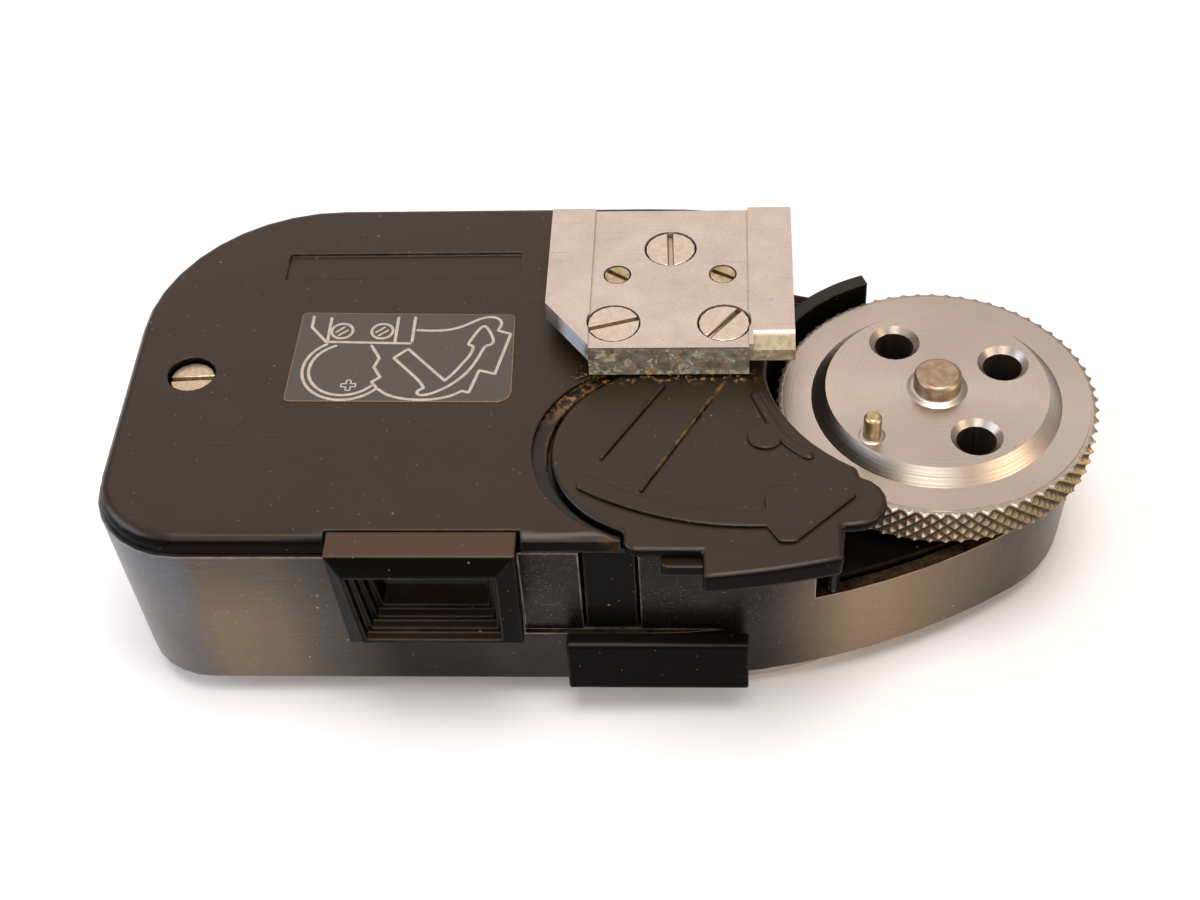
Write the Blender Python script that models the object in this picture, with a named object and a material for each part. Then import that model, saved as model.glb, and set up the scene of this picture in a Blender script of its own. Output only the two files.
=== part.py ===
"""A shoe-mounted exposure meter, lying on its dial with its accessory foot upwards.

The foot slides into a camera's accessory shoe, the knurled wheel couples to the camera's
shutter dial, and the hooded cell looks forward, along -Y. All sizes are in metres. Places are
measured from the middle of the foot's top face, and the finished meter is then moved so that
it stands on its dial, with the middle of its box at X = Y = 0.
"""

import bmesh
import bpy
from math import atan2, cos, degrees, radians, sin, sqrt
from mathutils import Vector

# Accessory foot: a standard shoe foot
FOOT_WIDTH = 0.0186
FOOT_LENGTH = 0.01576
FOOT_THICKNESS = 0.0019
FOOT_STEP = 0.0003
FOOT_EDGE = 0.0003
FOOT_CHAMFER_X = 0.0034
FOOT_CHAMFER_Y = 0.0047
FOOT_RAMP_LENGTH = 0.0015
FOOT_RAMP_DROP = 0.0010
NECK_WIDTH = 0.01186
NECK_HEIGHT = 0.0030

# Seats and running gaps
SEAT_GAP = 0.0002
RUNNING_GAP = 0.00025
OVERRUN = 0.0010
BOND = 0.0003

# Body outline
BODY_LEFT_X = -0.0412
BODY_AXIS_Y = -0.0059
BODY_DEPTH = 0.0370
FLANK_RADIUS = 0.0500
END_RADIUS = 0.0115
FRONT_CORNER_RADIUS = 0.0068
REAR_CORNER_RADIUS = 0.0145

# Metal housing
BODY_HEIGHT = 0.0152
HOUSING_WALL = 0.0010
HOUSING_DRAFT = 0.0011
HOUSING_TOP = 0.0012
HOUSING_ROUNDING = 0.0005
LOW_RIM_DROP = 0.0068
HIGH_FRONT_X = 0.0106
HIGH_REAR_X = 0.0079
POCKET_LEFT_X = -0.0104
POCKET_RIGHT_X = 0.0080
POCKET_DEPTH = 0.0004
POCKET_HEIGHT = 0.0090
SLOT_LEFT_X = -0.00612
SLOT_WIDTH = 0.00417
SLOT_HEIGHT = 0.0088
SCREW_POST_RADIUS = 0.0018
POST_SPACE = 0.0009
POST_INSET = 0.0002
POST_DEPTH = 0.0015
POST_CHAMFER = 0.0003

# Moulded base plate
PLATE_PROUD = 0.0014
PLATE_INSET = 0.0003
PLATE_EDGE = 0.0009
SPIGOT_DEPTH = 0.0010
SKIRT_WALL = 0.0011
SKIRT_DEPTH = 0.0064
WELL_RADIUS = 0.0129
WELL_FRONT_X = 0.0126
WELL_REAR_X = 0.0093
WELL_FRONT_BEARING = -126.0
GUARD_DROP = 0.0033
GUARD_END_BEARING = 111.0
NAME_PANEL_X = -0.02115
NAME_PANEL_Y = 0.0049
NAME_PANEL_WIDTH = 0.0185
NAME_PANEL_LENGTH = 0.0031
NAME_PANEL_DEPTH = 0.00025
TONGUE_STEP = 0.0009
TONGUE_THICKNESS = 0.0010
LEDGE_SHIFT_X = 0.0008
LEDGE_SHIFT_Y = 0.0002
LEDGE_WIDTH = 0.00057
LEDGE_DEPTH = 0.0004

# Base plate screw
PLATE_SCREW_INSET = 0.0052
PLATE_SCREW_Y = -0.00735
PLATE_SCREW_HEAD_RADIUS = 0.0017
PLATE_SCREW_HEAD_HEIGHT = 0.0008
PLATE_SCREW_SINK = 0.0005
PLATE_SCREW_SHANK_RADIUS = 0.0008
PLATE_SCREW_LENGTH = 0.0060
SCREW_SLOT_WIDTH = 0.0004
SCREW_SLOT_DEPTH = 0.0004

# Foot screws and what they pull against
LARGE_HEAD_RADIUS = 0.0019
LARGE_HEAD_HEIGHT = 0.0011
LARGE_SHANK_RADIUS = 0.0008
LARGE_REAR_X = 0.0
LARGE_REAR_Y = 0.0033
LARGE_FRONT_X = 0.0041
LARGE_FRONT_Y = -0.0052
LARGE_SLOT_BEARINGS = (92.0, 17.0, 52.0)
SMALL_HEAD_RADIUS = 0.00095
SMALL_HEAD_HEIGHT = 0.0006
SMALL_SHANK_RADIUS = 0.0005
SMALL_SCREW_X = 0.0040
SMALL_SCREW_Y = 0.0003
SMALL_SCREW_LENGTH = 0.0022
SMALL_SLOT_BEARINGS = (-35.0, -30.0)
PLATE_SLOT_BEARING = 3.0
HEAD_SINK = 0.00005
BACKING_WIDTH = 0.0118
BACKING_REAR_Y = 0.0056
BACKING_FRONT_Y = -0.0062
BACKING_THICKNESS = 0.0010

# Coupling wheel
WHEEL_X = 0.0201
WHEEL_RADIUS = 0.01214
WHEEL_RING_DROP = 0.0075
WHEEL_RIM_HEIGHT = 0.0031
WHEEL_BOSS_RADIUS = 0.0085
WHEEL_BEVEL_RADIUS = 0.0093
WHEEL_BOSS_RISE = 0.0011
WHEEL_EDGE = 0.0002
KNURL_DEPTH = 0.0004
KNURL_DIAMONDS = 66
KNURL_ROWS = 5
WHEEL_HOLE_RADIUS = 0.0015
WHEEL_HOLE_SINK_RADIUS = 0.00195
WHEEL_HOLE_CIRCLE = 0.0058
WHEEL_HOLE_BEARINGS = (120.0, 27.0, -64.0)
SHAFT_RADIUS = 0.0018
SHAFT_RISE = 0.0015
SHAFT_EDGE = 0.0002
PIN_RADIUS = 0.00068
PIN_HEIGHT = 0.0020
PIN_CIRCLE = 0.0072
PIN_BEARING = -135.5
PIN_SEAT_DEPTH = 0.0012
BUSH_WALL = 0.0014
BUSH_FLANGE = 0.0009
BUSH_FLANGE_HEIGHT = 0.0003
BUSH_LENGTH = 0.0018

# Well plate, which also carries the gears
WELL_PLATE_THICKNESS = 0.0008
WELL_PLATE_LEFT_X = -0.0018

# Gears between the wheel and the dial
DIAL_X = 0.0042
GEAR_TEETH = 26
GEAR_THICKNESS = 0.0014
GEAR_ADDENDUM = 0.00045
GEAR_DEDENDUM = 0.0007
GEAR_DROP = 0.0010
TOOTH_TIP_SHARE = 0.20
TOOTH_ROOT_SHARE = 0.46
GEAR_HUB_RADIUS = 0.0034
GEAR_HUB_HEIGHT = 0.0012

# Calculator dial and film speed disc
DIAL_RADIUS = 0.0158
DIAL_THICKNESS = 0.0015
DIAL_WEB = 0.0006
DIAL_RIM_EDGE = 0.0003
DISC_RADIUS = 0.0092
DISC_THICKNESS = 0.0005
DISC_SINK = 0.0002
DIAL_SHAFT_RADIUS = 0.0020

# Battery compartment
CELL_HEIGHT = 0.0059
CELL_SHOULDER = 0.0010
CELL_SHOULDER_INSET = 0.0014
CELL_X = 0.0002
CELL_FRONT_MARGIN = 0.0021
CELL_REAR_MARGIN = 0.0016
CELL_CLEARANCE = 0.0001
CUP_WALL = 0.0004
CUP_FLOOR = 0.0004
CONTACT_RADIUS = 0.0050
CONTACT_THICKNESS = 0.0002

# Battery cover
COVER_THICKNESS = 0.0009
COVER_X = -0.0001
COVER_OFFSET = 0.00095
COVER_MARGIN = 0.00055
COVER_CLEARANCE = 0.0003
COVER_WHEEL_CLEARANCE = 0.00096
COVER_ARC_START = 133.0
COVER_ARC_END = 250.0
COVER_EYE_RADIUS = 0.0033
COVER_SWEEP = 70.0
SWEEP_FIRST_BEARING = -80.0
SWEEP_LAST_BEARING = 50.0
LOBE_X = 0.0130
LOBE_INSET = 0.0040
LOBE_RADIUS = 0.0024
TAB_LEFT_X = 0.0026
TAB_RIGHT_X = 0.0122
TAB_REACH = 0.00335
TAB_LIP_HEIGHT = 0.0018
TAB_LIP_WALL = 0.0010
TAB_LIP_INSET = 0.0001
TAB_CORNER = 0.0006
STEP_LEFT_X = -0.0003
STEP_DROP = 0.0010
STEP_HEIGHT = 0.0008
STEP_REACH = 0.0015
FRONT_NOSE_X = -0.0029
FRONT_NOSE_REACH = 0.0007
RELIEF_HEIGHT = 0.00025
ARROW_CENTRE_X = 0.0060
ARROW_BAND_INSET = 0.0013
ARROW_RADIUS = 0.0224
ARROW_WIDTH = 0.0014
ARROW_TAIL_X = -0.0061
ARROW_TAIL_TURN = 1.6
ARROW_HEAD_X = 0.0070
ARROW_TIP_X = 0.0133
ARROW_TIP_INSET = 0.0043
BAR_LEFT_REAR_X = -0.00028
BAR_LEFT_REAR_SHARE = 0.81
BAR_LEFT_FRONT_X = -0.0060
BAR_LEFT_FRONT_SHARE = 0.30
BAR_RIGHT_REAR_X = 0.00319
BAR_RIGHT_REAR_SHARE = 0.74
BAR_RIGHT_FRONT_X = -0.0022
BAR_RIGHT_FRONT_SHARE = 0.21
DIMPLE_X = 0.0070
DIMPLE_SHARE = 0.53
DIMPLE_RADIUS = 0.0013
PIVOT_BUSH_RADIUS = 0.0019

# Cell hood and the photocell behind it
HOOD_LEFT_X = -0.0236
HOOD_RIGHT_X = -0.0103
HOOD_RISE = 0.0001
HOOD_BOTTOM_DROP = 0.0125
HOOD_REACH = 0.0021
HOOD_SHOULDER = 0.0007
HOOD_FACE_INSET_X = 0.0011
HOOD_FACE_INSET_TOP = 0.0013
HOOD_FACE_INSET_BOTTOM = 0.0009
HOOD_FRAME = 0.0003
HOOD_STEPS = 4
HOOD_STEP_INSET = 0.00035
HOOD_STEP_DEPTH = 0.0008
HOOD_TAPER = 0.0008
HOOD_TUBE_DEPTH = 0.0022
HOOD_TUBE_WALL = 0.0007
HOOD_TONGUE = 0.0009
WINDOW_THICKNESS = 0.0007
PHOTOCELL_RADIUS = 0.0024
PHOTOCELL_THICKNESS = 0.0018
HOLDER_DEPTH = 0.0030
HOLDER_MARGIN = 0.0011

# Measuring slide on the front wall
SLIDE_LEFT_X = -0.00735
SLIDE_RIGHT_X = 0.0058
SLIDE_TOP_DROP = 0.0134
SLIDE_HEIGHT = 0.0050
SLIDE_REACH = 0.0009
SLIDE_TRAVEL = 0.0025
SLIDE_EDGE = 0.0002
STEM_WIDTH = 0.0040
STEM_HEIGHT = 0.0018
KEEPER_MARGIN = 0.0012
KEEPER_THICKNESS = 0.0009

# Range switch on the rear wall
SWITCH_X = -0.0150
SWITCH_WIDTH = 0.0050
SWITCH_HEIGHT = 0.0032
SWITCH_DROP = 0.0116
SWITCH_REACH = 0.0010
SWITCH_TRAVEL = 0.0040
SWITCH_STEM_WIDTH = 0.0024
SWITCH_STEM_HEIGHT = 0.0016
SWITCH_RIBS = 4

# Meter movement and scale window
MOVEMENT_INSET = 0.0150
MOVEMENT_Y = -0.0010
CORE_RADIUS = 0.0038
YOKE_INNER_RADIUS = 0.0056
YOKE_WALL = 0.0024
MAGNET_HEIGHT = 0.0056
MAGNET_DROP = 0.0080
COIL_HALF_WIDTH = 0.0047
COIL_WIRE = 0.0007
COIL_CLEARANCE = 0.0004
STAFF_RADIUS = 0.0004
BRIDGE_THICKNESS = 0.0007
BRIDGE_WIDTH = 0.0036
SCALE_PLATE_THICKNESS = 0.0003
POINTER_THICKNESS = 0.0003
POINTER_LENGTH = 0.0130
POINTER_WIDTH = 0.0006
POINTER_SWEEP = 50.0
WINDOW_WIDTH = 0.0130
WINDOW_LENGTH = 0.0085
WINDOW_Y = -0.0112
GLASS_THICKNESS = 0.0009
GLASS_SINK = 0.0001

# Board with the calibration resistors
BOARD_X = -0.0066
BOARD_Y = 0.0036
BOARD_WIDTH = 0.0084
BOARD_LENGTH = 0.0060
BOARD_THICKNESS = 0.0008
BOARD_DROP = 0.0092
RESISTOR_RADIUS = 0.0008
RESISTOR_LENGTH = 0.0040
RESISTOR_PITCH = 0.0020
RESISTOR_COUNT = 3

# Smoothness of round pieces, in steps round
COARSE = 16
MEDIUM = 28
FINE = 56
EDGE_STEPS = 3

# Levels below the foot's top face, from the foot down to the dial
PLATE_TOP = -NECK_HEIGHT - SEAT_GAP
PLATE_SEAT = PLATE_TOP - PLATE_PROUD
RIM = PLATE_SEAT - SEAT_GAP
SPIGOT_BOTTOM = PLATE_SEAT - SPIGOT_DEPTH
BODY_TOP_FACE = RIM - BODY_HEIGHT
CEILING = BODY_TOP_FACE + HOUSING_TOP
LOW_RIM = RIM - LOW_RIM_DROP
SKIRT_BOTTOM = SPIGOT_BOTTOM - (SKIRT_DEPTH - SPIGOT_DEPTH)
WELL_PLATE_TOP = SKIRT_BOTTOM - SEAT_GAP - SEAT_GAP
WELL_PLATE_BOTTOM = WELL_PLATE_TOP - WELL_PLATE_THICKNESS
COVER_UNDERSIDE = PLATE_TOP - COVER_THICKNESS
RECESS_FLOOR = COVER_UNDERSIDE - RUNNING_GAP
CELL_BOTTOM = RECESS_FLOOR - CELL_HEIGHT
CONTACT_BOTTOM = CELL_BOTTOM - SEAT_GAP - CONTACT_THICKNESS
WHEEL_RING = -WHEEL_RING_DROP
WHEEL_BOSS = WHEEL_RING + WHEEL_BOSS_RISE
WHEEL_BOTTOM = WHEEL_RING - WHEEL_RIM_HEIGHT
SHAFT_TOP = WHEEL_BOSS + SHAFT_RISE
GEAR_TOP = WELL_PLATE_BOTTOM - GEAR_DROP
GEAR_BOTTOM = GEAR_TOP - GEAR_THICKNESS
DIAL_TOP = BODY_TOP_FACE - SEAT_GAP
DIAL_FACE = DIAL_TOP - DIAL_THICKNESS
BODY_HALF = BODY_DEPTH / 2
FRONT_Y = BODY_AXIS_Y - BODY_HALF
REAR_Y = BODY_AXIS_Y + BODY_HALF
DRAFT_RATE = HOUSING_DRAFT / BODY_HEIGHT
PLATE_SCREW_X = BODY_LEFT_X + PLATE_SCREW_INSET
MOVEMENT_X = BODY_LEFT_X + MOVEMENT_INSET
COVER_REACH = LARGE_FRONT_Y - FRONT_Y
CELL_RADIUS = (COVER_REACH - CELL_FRONT_MARGIN - CELL_REAR_MARGIN) / 2
CELL_Y = FRONT_Y + CELL_FRONT_MARGIN + CELL_RADIUS
COVER_Y = CELL_Y - COVER_OFFSET
COVER_ARC_RADIUS = CELL_RADIUS + COVER_MARGIN
LOBE_Y = FRONT_Y + LOBE_INSET
ARROW_CENTRE_Y = FRONT_Y + ARROW_BAND_INSET + ARROW_RADIUS
ARROW_TIP_Y = FRONT_Y + ARROW_TIP_INSET
SLIDE_FRONT_Y = FRONT_Y - SLIDE_REACH
PIVOT = (LARGE_FRONT_X, LARGE_FRONT_Y)
WHEEL_AXIS = (WHEEL_X, BODY_AXIS_Y)
DIAL_AXIS = (DIAL_X, BODY_AXIS_Y)
CELL_AXIS = (CELL_X, CELL_Y)
COVER_CENTRE = (COVER_X, COVER_Y)
MOVEMENT_AXIS = (MOVEMENT_X, MOVEMENT_Y)
PLATE_SCREW = (PLATE_SCREW_X, PLATE_SCREW_Y)
LEDGE = (COVER_X - LEDGE_SHIFT_X, COVER_Y + LEDGE_SHIFT_Y)
LEDGE_RADIUS = COVER_ARC_RADIUS + LEDGE_WIDTH
DIMPLE = (DIMPLE_X, FRONT_Y + COVER_REACH * DIMPLE_SHARE)
COVER_WHEEL_RADIUS = WHEEL_RADIUS + COVER_WHEEL_CLEARANCE
GEAR_PITCH_RADIUS = (WHEEL_X - DIAL_X) / 2

ORIGIN = Vector((0, 0, 0))
MERGE_DISTANCE = 1e-7
SMOOTH_ANGLE = radians(35)


def clear_scene():
    """Remove every object of the open scene."""
    for old in list(bpy.data.objects):
        bpy.data.objects.remove(old, do_unlink=True)


def make_material(name, colour, roughness, metallic):
    """A Principled material; colour is linear red, green and blue."""
    material = bpy.data.materials.new(name)
    material.use_nodes = True
    shader = material.node_tree.nodes["Principled BSDF"]
    shader.inputs["Base Color"].default_value = (*colour, 1)
    shader.inputs["Roughness"].default_value = roughness
    shader.inputs["Metallic"].default_value = metallic
    material.diffuse_color = (*colour, 1)
    return material


def finish(mesh_data, name, material, root, pivot=ORIGIN):
    """Turn a bmesh into a named object whose origin is on its joint's axis."""
    bmesh.ops.recalc_face_normals(mesh_data, faces=mesh_data.faces)
    bmesh.ops.translate(mesh_data, verts=mesh_data.verts, vec=-pivot)
    mesh = bpy.data.meshes.new(name)
    mesh_data.to_mesh(mesh)
    mesh_data.free()
    mesh.shade_smooth()
    mesh.set_sharp_from_angle(angle=SMOOTH_ANGLE)
    piece = bpy.data.objects.new(name, mesh)
    bpy.context.collection.objects.link(piece)
    piece.location = pivot
    piece.parent = root
    if material is not None:
        mesh.materials.append(material)
    return piece


def arc(centre, radius, start, end, steps):
    """Points on an arc in plan, both ends included; bearings in degrees."""
    points = []
    for step in range(steps + 1):
        bearing = radians(start + (end - start) * step / steps)
        points.append((centre[0] + radius * cos(bearing), centre[1] + radius * sin(bearing)))
    return points


def circle(centre, radius, steps):
    """Points round a full circle."""
    return arc(centre, radius, 0, 360, steps)[:-1]


def at_level(outline, level):
    """An outline in plan lifted to one height."""
    return [Vector((x, y, level)) for x, y in outline]


def loft(sections):
    """A closed body through sections of equally many points."""
    body = bmesh.new()
    rings = [[body.verts.new(point) for point in section] for section in sections]
    for lower, upper in zip(rings, rings[1:]):
        for index, corner in enumerate(lower):
            after = (index + 1) % len(lower)
            body.faces.new((corner, lower[after], upper[after], upper[index]))
    body.faces.new(rings[0])
    body.faces.new(rings[-1])
    return body


def prism(outline, bottom, top):
    """A closed body that carries a plan outline from one level to another."""
    return loft((at_level(outline, bottom), at_level(outline, top)))


def rectangle(left, right, front, rear):
    """Corner points of a rectangle in plan."""
    return [(left, front), (right, front), (right, rear), (left, rear)]


def block(left, right, front, rear, bottom, top):
    """A plain rectangular body."""
    return prism(rectangle(left, right, front, rear), bottom, top)


def turned(profile, axis, steps):
    """A body of revolution about a vertical axis from (radius, level) points."""
    body = bmesh.new()
    corners = [body.verts.new((axis[0] + radius, axis[1], level)) for radius, level in profile]
    closed = profile[0][0] > 0 and profile[-1][0] > 0
    pairs = list(zip(corners, corners[1:]))
    if closed:
        pairs.append((corners[-1], corners[0]))
    edges = [body.edges.new(pair) for pair in pairs]
    bmesh.ops.spin(body, geom=corners + edges, cent=(*axis, 0), axis=(0, 0, 1),
                   angle=radians(360), steps=steps)
    bmesh.ops.remove_doubles(body, verts=body.verts, dist=MERGE_DISTANCE)
    return body


def rod(axis, radius, bottom, top, steps=COARSE):
    """A plain round rod."""
    return prism(circle(axis, radius, steps), bottom, top)


def level_rod(x, z, radius, front, rear):
    """A round rod that lies along Y."""
    ends = []
    for y in (front, rear):
        turns = [radians(360 * step / MEDIUM) for step in range(MEDIUM)]
        ends.append([Vector((x + radius * cos(turn), y, z + radius * sin(turn))) for turn in turns])
    return loft(ends)


def tube(axis, inner, outer, bottom, top, steps=MEDIUM):
    """A plain round tube."""
    return turned([(inner, bottom), (outer, bottom), (outer, top), (inner, top)], axis, steps)


def combine(target, body, operation):
    """Cut a bmesh from an object, or join it on, with an exact boolean."""
    number = len(target.modifiers)
    tool = finish(body, f"{target.name}_tool_{number}", None, target.parent)
    tool.hide_render = True
    tool.display_type = "WIRE"
    modifier = target.modifiers.new(f"{operation.lower()}_{number}", "BOOLEAN")
    modifier.operation = operation
    modifier.solver = "EXACT"
    modifier.object = tool


def cut(target, *bodies):
    """Cut bmeshes from an object."""
    for body in bodies:
        combine(target, body, "DIFFERENCE")


def join(target, *bodies):
    """Join overlapping bmeshes to an object."""
    for body in bodies:
        combine(target, body, "UNION")


def flank_layout():
    """Centre of the long flank arcs in X, their height off the axis, and where they meet the end."""
    reach = FLANK_RADIUS - END_RADIUS
    drop = FLANK_RADIUS - BODY_HALF
    offset = sqrt(reach * reach - drop * drop)
    return WHEEL_X - offset, drop, degrees(atan2(drop, offset))


def body_outline(inset):
    """The body in plan: two long flank arcs that close round the wheel's end, and two corners."""
    centre_x, drop, bearing = flank_layout()
    front_centre = (centre_x, BODY_AXIS_Y + drop)
    rear_centre = (centre_x, BODY_AXIS_Y - drop)
    rear_corner = (BODY_LEFT_X + REAR_CORNER_RADIUS, REAR_Y - REAR_CORNER_RADIUS)
    front_corner = (BODY_LEFT_X + FRONT_CORNER_RADIUS, FRONT_Y + FRONT_CORNER_RADIUS)
    return (arc(front_centre, FLANK_RADIUS - inset, -90, -bearing, 10)
            + arc(WHEEL_AXIS, END_RADIUS - inset, -bearing, bearing, 14)[1:]
            + arc(rear_centre, FLANK_RADIUS - inset, bearing, 90, 10)[1:]
            + arc(rear_corner, REAR_CORNER_RADIUS - inset, 90, 180, 10)
            + arc(front_corner, FRONT_CORNER_RADIUS - inset, 180, 270, 7))


def draft_at(level):
    """How far the housing's outside has drawn in at a level, from its draft."""
    return (RIM - level) * DRAFT_RATE


def flank_at(x, inset):
    """The front flank's y at a place along the body, from its arc."""
    centre_x, drop, _ = flank_layout()
    radius = FLANK_RADIUS - inset
    return BODY_AXIS_Y + drop - sqrt(radius * radius - (x - centre_x) ** 2)


def well_edge(offset):
    """The moulding's edge round the wheel well, from front to rear, moved away from the well."""
    radius = WELL_RADIUS + offset
    front_x = WELL_FRONT_X - offset
    rear_x = WELL_REAR_X - offset
    front_y = BODY_AXIS_Y - sqrt(radius * radius - (WHEEL_X - front_x) ** 2)
    rear_y = BODY_AXIS_Y + sqrt(radius * radius - (WHEEL_X - rear_x) ** 2)
    start = degrees(atan2(front_y - BODY_AXIS_Y, front_x - WHEEL_X)) % 360
    end = degrees(atan2(rear_y - BODY_AXIS_Y, rear_x - WHEEL_X)) % 360
    front_stop = flank_at(front_x, HOUSING_WALL + draft_at(LOW_RIM) + RUNNING_GAP)
    return ([(front_x, front_stop)]
            + arc(WHEEL_AXIS, radius, start, end, 18)
            + [(rear_x, REAR_Y - PLATE_INSET)])


def well_region():
    """Everything to the right of the moulding's edge, as one outline for cutting."""
    edge = well_edge(0)
    far_x = WHEEL_X + WHEEL_RADIUS + OVERRUN
    return ([(edge[0][0], FRONT_Y - OVERRUN)] + edge[1:-1]
            + [(edge[-1][0], REAR_Y + OVERRUN), (far_x, REAR_Y + OVERRUN), (far_x, FRONT_Y - OVERRUN)])


def front_bearing(offset, radius):
    """Bearing of the point on the front of a circle that lies this far right of its centre."""
    return degrees(atan2(-sqrt(radius * radius - offset * offset), offset))


def cover_outline(clearance):
    """The battery cover in plan; a clearance grows it to its recess."""
    centre_x, drop, _ = flank_layout()
    flank_centre = (centre_x, BODY_AXIS_Y + drop)
    tab_radius = FLANK_RADIUS + TAB_REACH + clearance
    tab_left = front_bearing(TAB_LEFT_X - clearance - centre_x, tab_radius)
    tab_right = front_bearing(TAB_RIGHT_X + clearance - centre_x, tab_radius)
    front_y = FRONT_Y - FRONT_NOSE_REACH - clearance
    wheel_radius = COVER_WHEEL_RADIUS - clearance
    wheel_start = degrees(atan2(LOBE_Y + LOBE_RADIUS - BODY_AXIS_Y, LOBE_X - WHEEL_X))
    shoulder_y = LOBE_Y - LOBE_RADIUS - clearance
    return (arc(COVER_CENTRE, COVER_ARC_RADIUS + clearance, COVER_ARC_START, COVER_ARC_END, 16)
            + [(FRONT_NOSE_X - clearance, front_y + TAB_CORNER)]
            + [(FRONT_NOSE_X - clearance + TAB_CORNER, front_y)]
            + [(TAB_LEFT_X - clearance, front_y)]
            + arc(flank_centre, tab_radius, tab_left, tab_right, 6)
            + [(TAB_RIGHT_X + clearance, shoulder_y)]
            + arc((LOBE_X, LOBE_Y), LOBE_RADIUS + clearance, -90, 75, 8)
            + arc(WHEEL_AXIS, wheel_radius, wheel_start, -172, 9)
            + arc(PIVOT, COVER_EYE_RADIUS + clearance, -15, 140, 8))


def slotted_screw(place, bearing, top, head_radius, head_height, shank_radius, length):
    """A cheese-head screw as one turned body with a screwdriver slot cut into its head."""
    bottom = top - length
    seat = top - head_height
    facing = Vector((cos(radians(bearing)), sin(radians(bearing)), 0))
    across = Vector((-facing.y, facing.x, 0))
    section = []
    floor = top - SCREW_SLOT_DEPTH
    half = SCREW_SLOT_WIDTH / 2
    crown = []
    for step in range(COARSE):
        angle = radians(bearing + 360 * (step + 0.5) / COARSE)
        crown.append(Vector((place[0] + head_radius * cos(angle), place[1] + head_radius * sin(angle), top)))
    body = rod(place, shank_radius, bottom, seat + BOND / 2, 12)
    head = loft(([Vector((p.x, p.y, seat)) for p in crown], crown))
    middle = Vector((*place, 0))
    reach = head_radius + OVERRUN
    for along, side in ((-reach, -half), (reach, -half), (reach, half), (-reach, half)):
        section.append(middle + facing * along + across * side)
    slot = loft(([Vector((p.x, p.y, floor)) for p in section],
                 [Vector((p.x, p.y, top + OVERRUN)) for p in section]))
    return body, head, slot


def make_foot(root, metal):
    """The shoe foot: a flange with a milled middle and a neck, with its screw holes."""
    half = FOOT_WIDTH / 2
    rear = FOOT_LENGTH / 2
    outline = [(-half + FOOT_CHAMFER_X, -rear), (half, -rear), (half, rear), (-half, rear),
               (-half, -rear + FOOT_CHAMFER_Y)]
    edge_share = 1 - FOOT_EDGE / half
    lower = [(x * edge_share, y * edge_share) for x, y in outline]
    foot = finish(loft((at_level(lower, -FOOT_THICKNESS),
                        at_level(outline, -FOOT_THICKNESS + FOOT_EDGE),
                        at_level(outline, 0))), "shoe_foot", metal, root)
    neck_half = NECK_WIDTH / 2
    join(foot, block(-neck_half, neck_half, -rear, rear - FOOT_EDGE, -NECK_HEIGHT, -FOOT_THICKNESS + BOND))
    ramp_start = -rear + FOOT_RAMP_LENGTH
    ramp = [(-rear - OVERRUN, -FOOT_RAMP_DROP), (ramp_start, 0), (ramp_start, OVERRUN),
            (-rear - OVERRUN, OVERRUN)]
    cut(foot, block(-neck_half, neck_half, -rear - OVERRUN, rear + OVERRUN, -FOOT_STEP, OVERRUN))
    cut(foot, loft([[Vector((x, y, level)) for y, level in ramp]
                    for x in (neck_half + BOND, half + OVERRUN)]))
    head_top = -FOOT_STEP - HEAD_SINK
    for place in large_screw_places():
        cut(foot, rod(place, LARGE_HEAD_RADIUS + RUNNING_GAP / 2, head_top - LARGE_HEAD_HEIGHT - SEAT_GAP,
                      OVERRUN, MEDIUM))
        cut(foot, rod(place, LARGE_SHANK_RADIUS + RUNNING_GAP, -NECK_HEIGHT - OVERRUN, -FOOT_STEP))
    for place in small_screw_places():
        cut(foot, rod(place, SMALL_HEAD_RADIUS + RUNNING_GAP / 2, head_top - SMALL_HEAD_HEIGHT - SEAT_GAP,
                      OVERRUN))
        cut(foot, rod(place, SMALL_SHANK_RADIUS + RUNNING_GAP, -NECK_HEIGHT - OVERRUN, -FOOT_STEP, 12))
    return foot


def large_screw_places():
    """The three large foot screws: one behind, two in front."""
    return ((LARGE_REAR_X, LARGE_REAR_Y), (-LARGE_FRONT_X, LARGE_FRONT_Y), (LARGE_FRONT_X, LARGE_FRONT_Y))


def small_screw_places():
    """The two small screws between them."""
    return ((-SMALL_SCREW_X, SMALL_SCREW_Y), (SMALL_SCREW_X, SMALL_SCREW_Y))


def make_screws(root, aluminium, brass):
    """The foot's three large and two small screws, and the base plate's own screw."""
    top = -FOOT_STEP - HEAD_SINK
    backing_bottom = SPIGOT_BOTTOM - SEAT_GAP - BACKING_THICKNESS
    large = (LARGE_HEAD_RADIUS, LARGE_HEAD_HEIGHT, LARGE_SHANK_RADIUS, top - backing_bottom)
    small = (SMALL_HEAD_RADIUS, SMALL_HEAD_HEIGHT, SMALL_SHANK_RADIUS, SMALL_SCREW_LENGTH)
    single = (PLATE_SCREW_HEAD_RADIUS, PLATE_SCREW_HEAD_HEIGHT, PLATE_SCREW_SHANK_RADIUS, PLATE_SCREW_LENGTH)
    places = large_screw_places() + small_screw_places() + (PLATE_SCREW,)
    bearings = LARGE_SLOT_BEARINGS + SMALL_SLOT_BEARINGS + (PLATE_SLOT_BEARING,)
    names = ("foot_screw_rear", "foot_screw_left", "foot_screw_pivot", "small_screw_left",
             "small_screw_right", "base_plate_screw")
    kinds = (large, large, large, small, small, single)
    levels = (top, top, top, top, top, PLATE_TOP - PLATE_SCREW_SINK)
    for name, place, bearing, sizes, level in zip(names, places, bearings, kinds, levels):
        shank, head, slot = slotted_screw(place, bearing, level, *sizes)
        screw = finish(head, name, aluminium if sizes is large else brass, root)
        join(screw, shank)
        cut(screw, slot)


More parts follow.
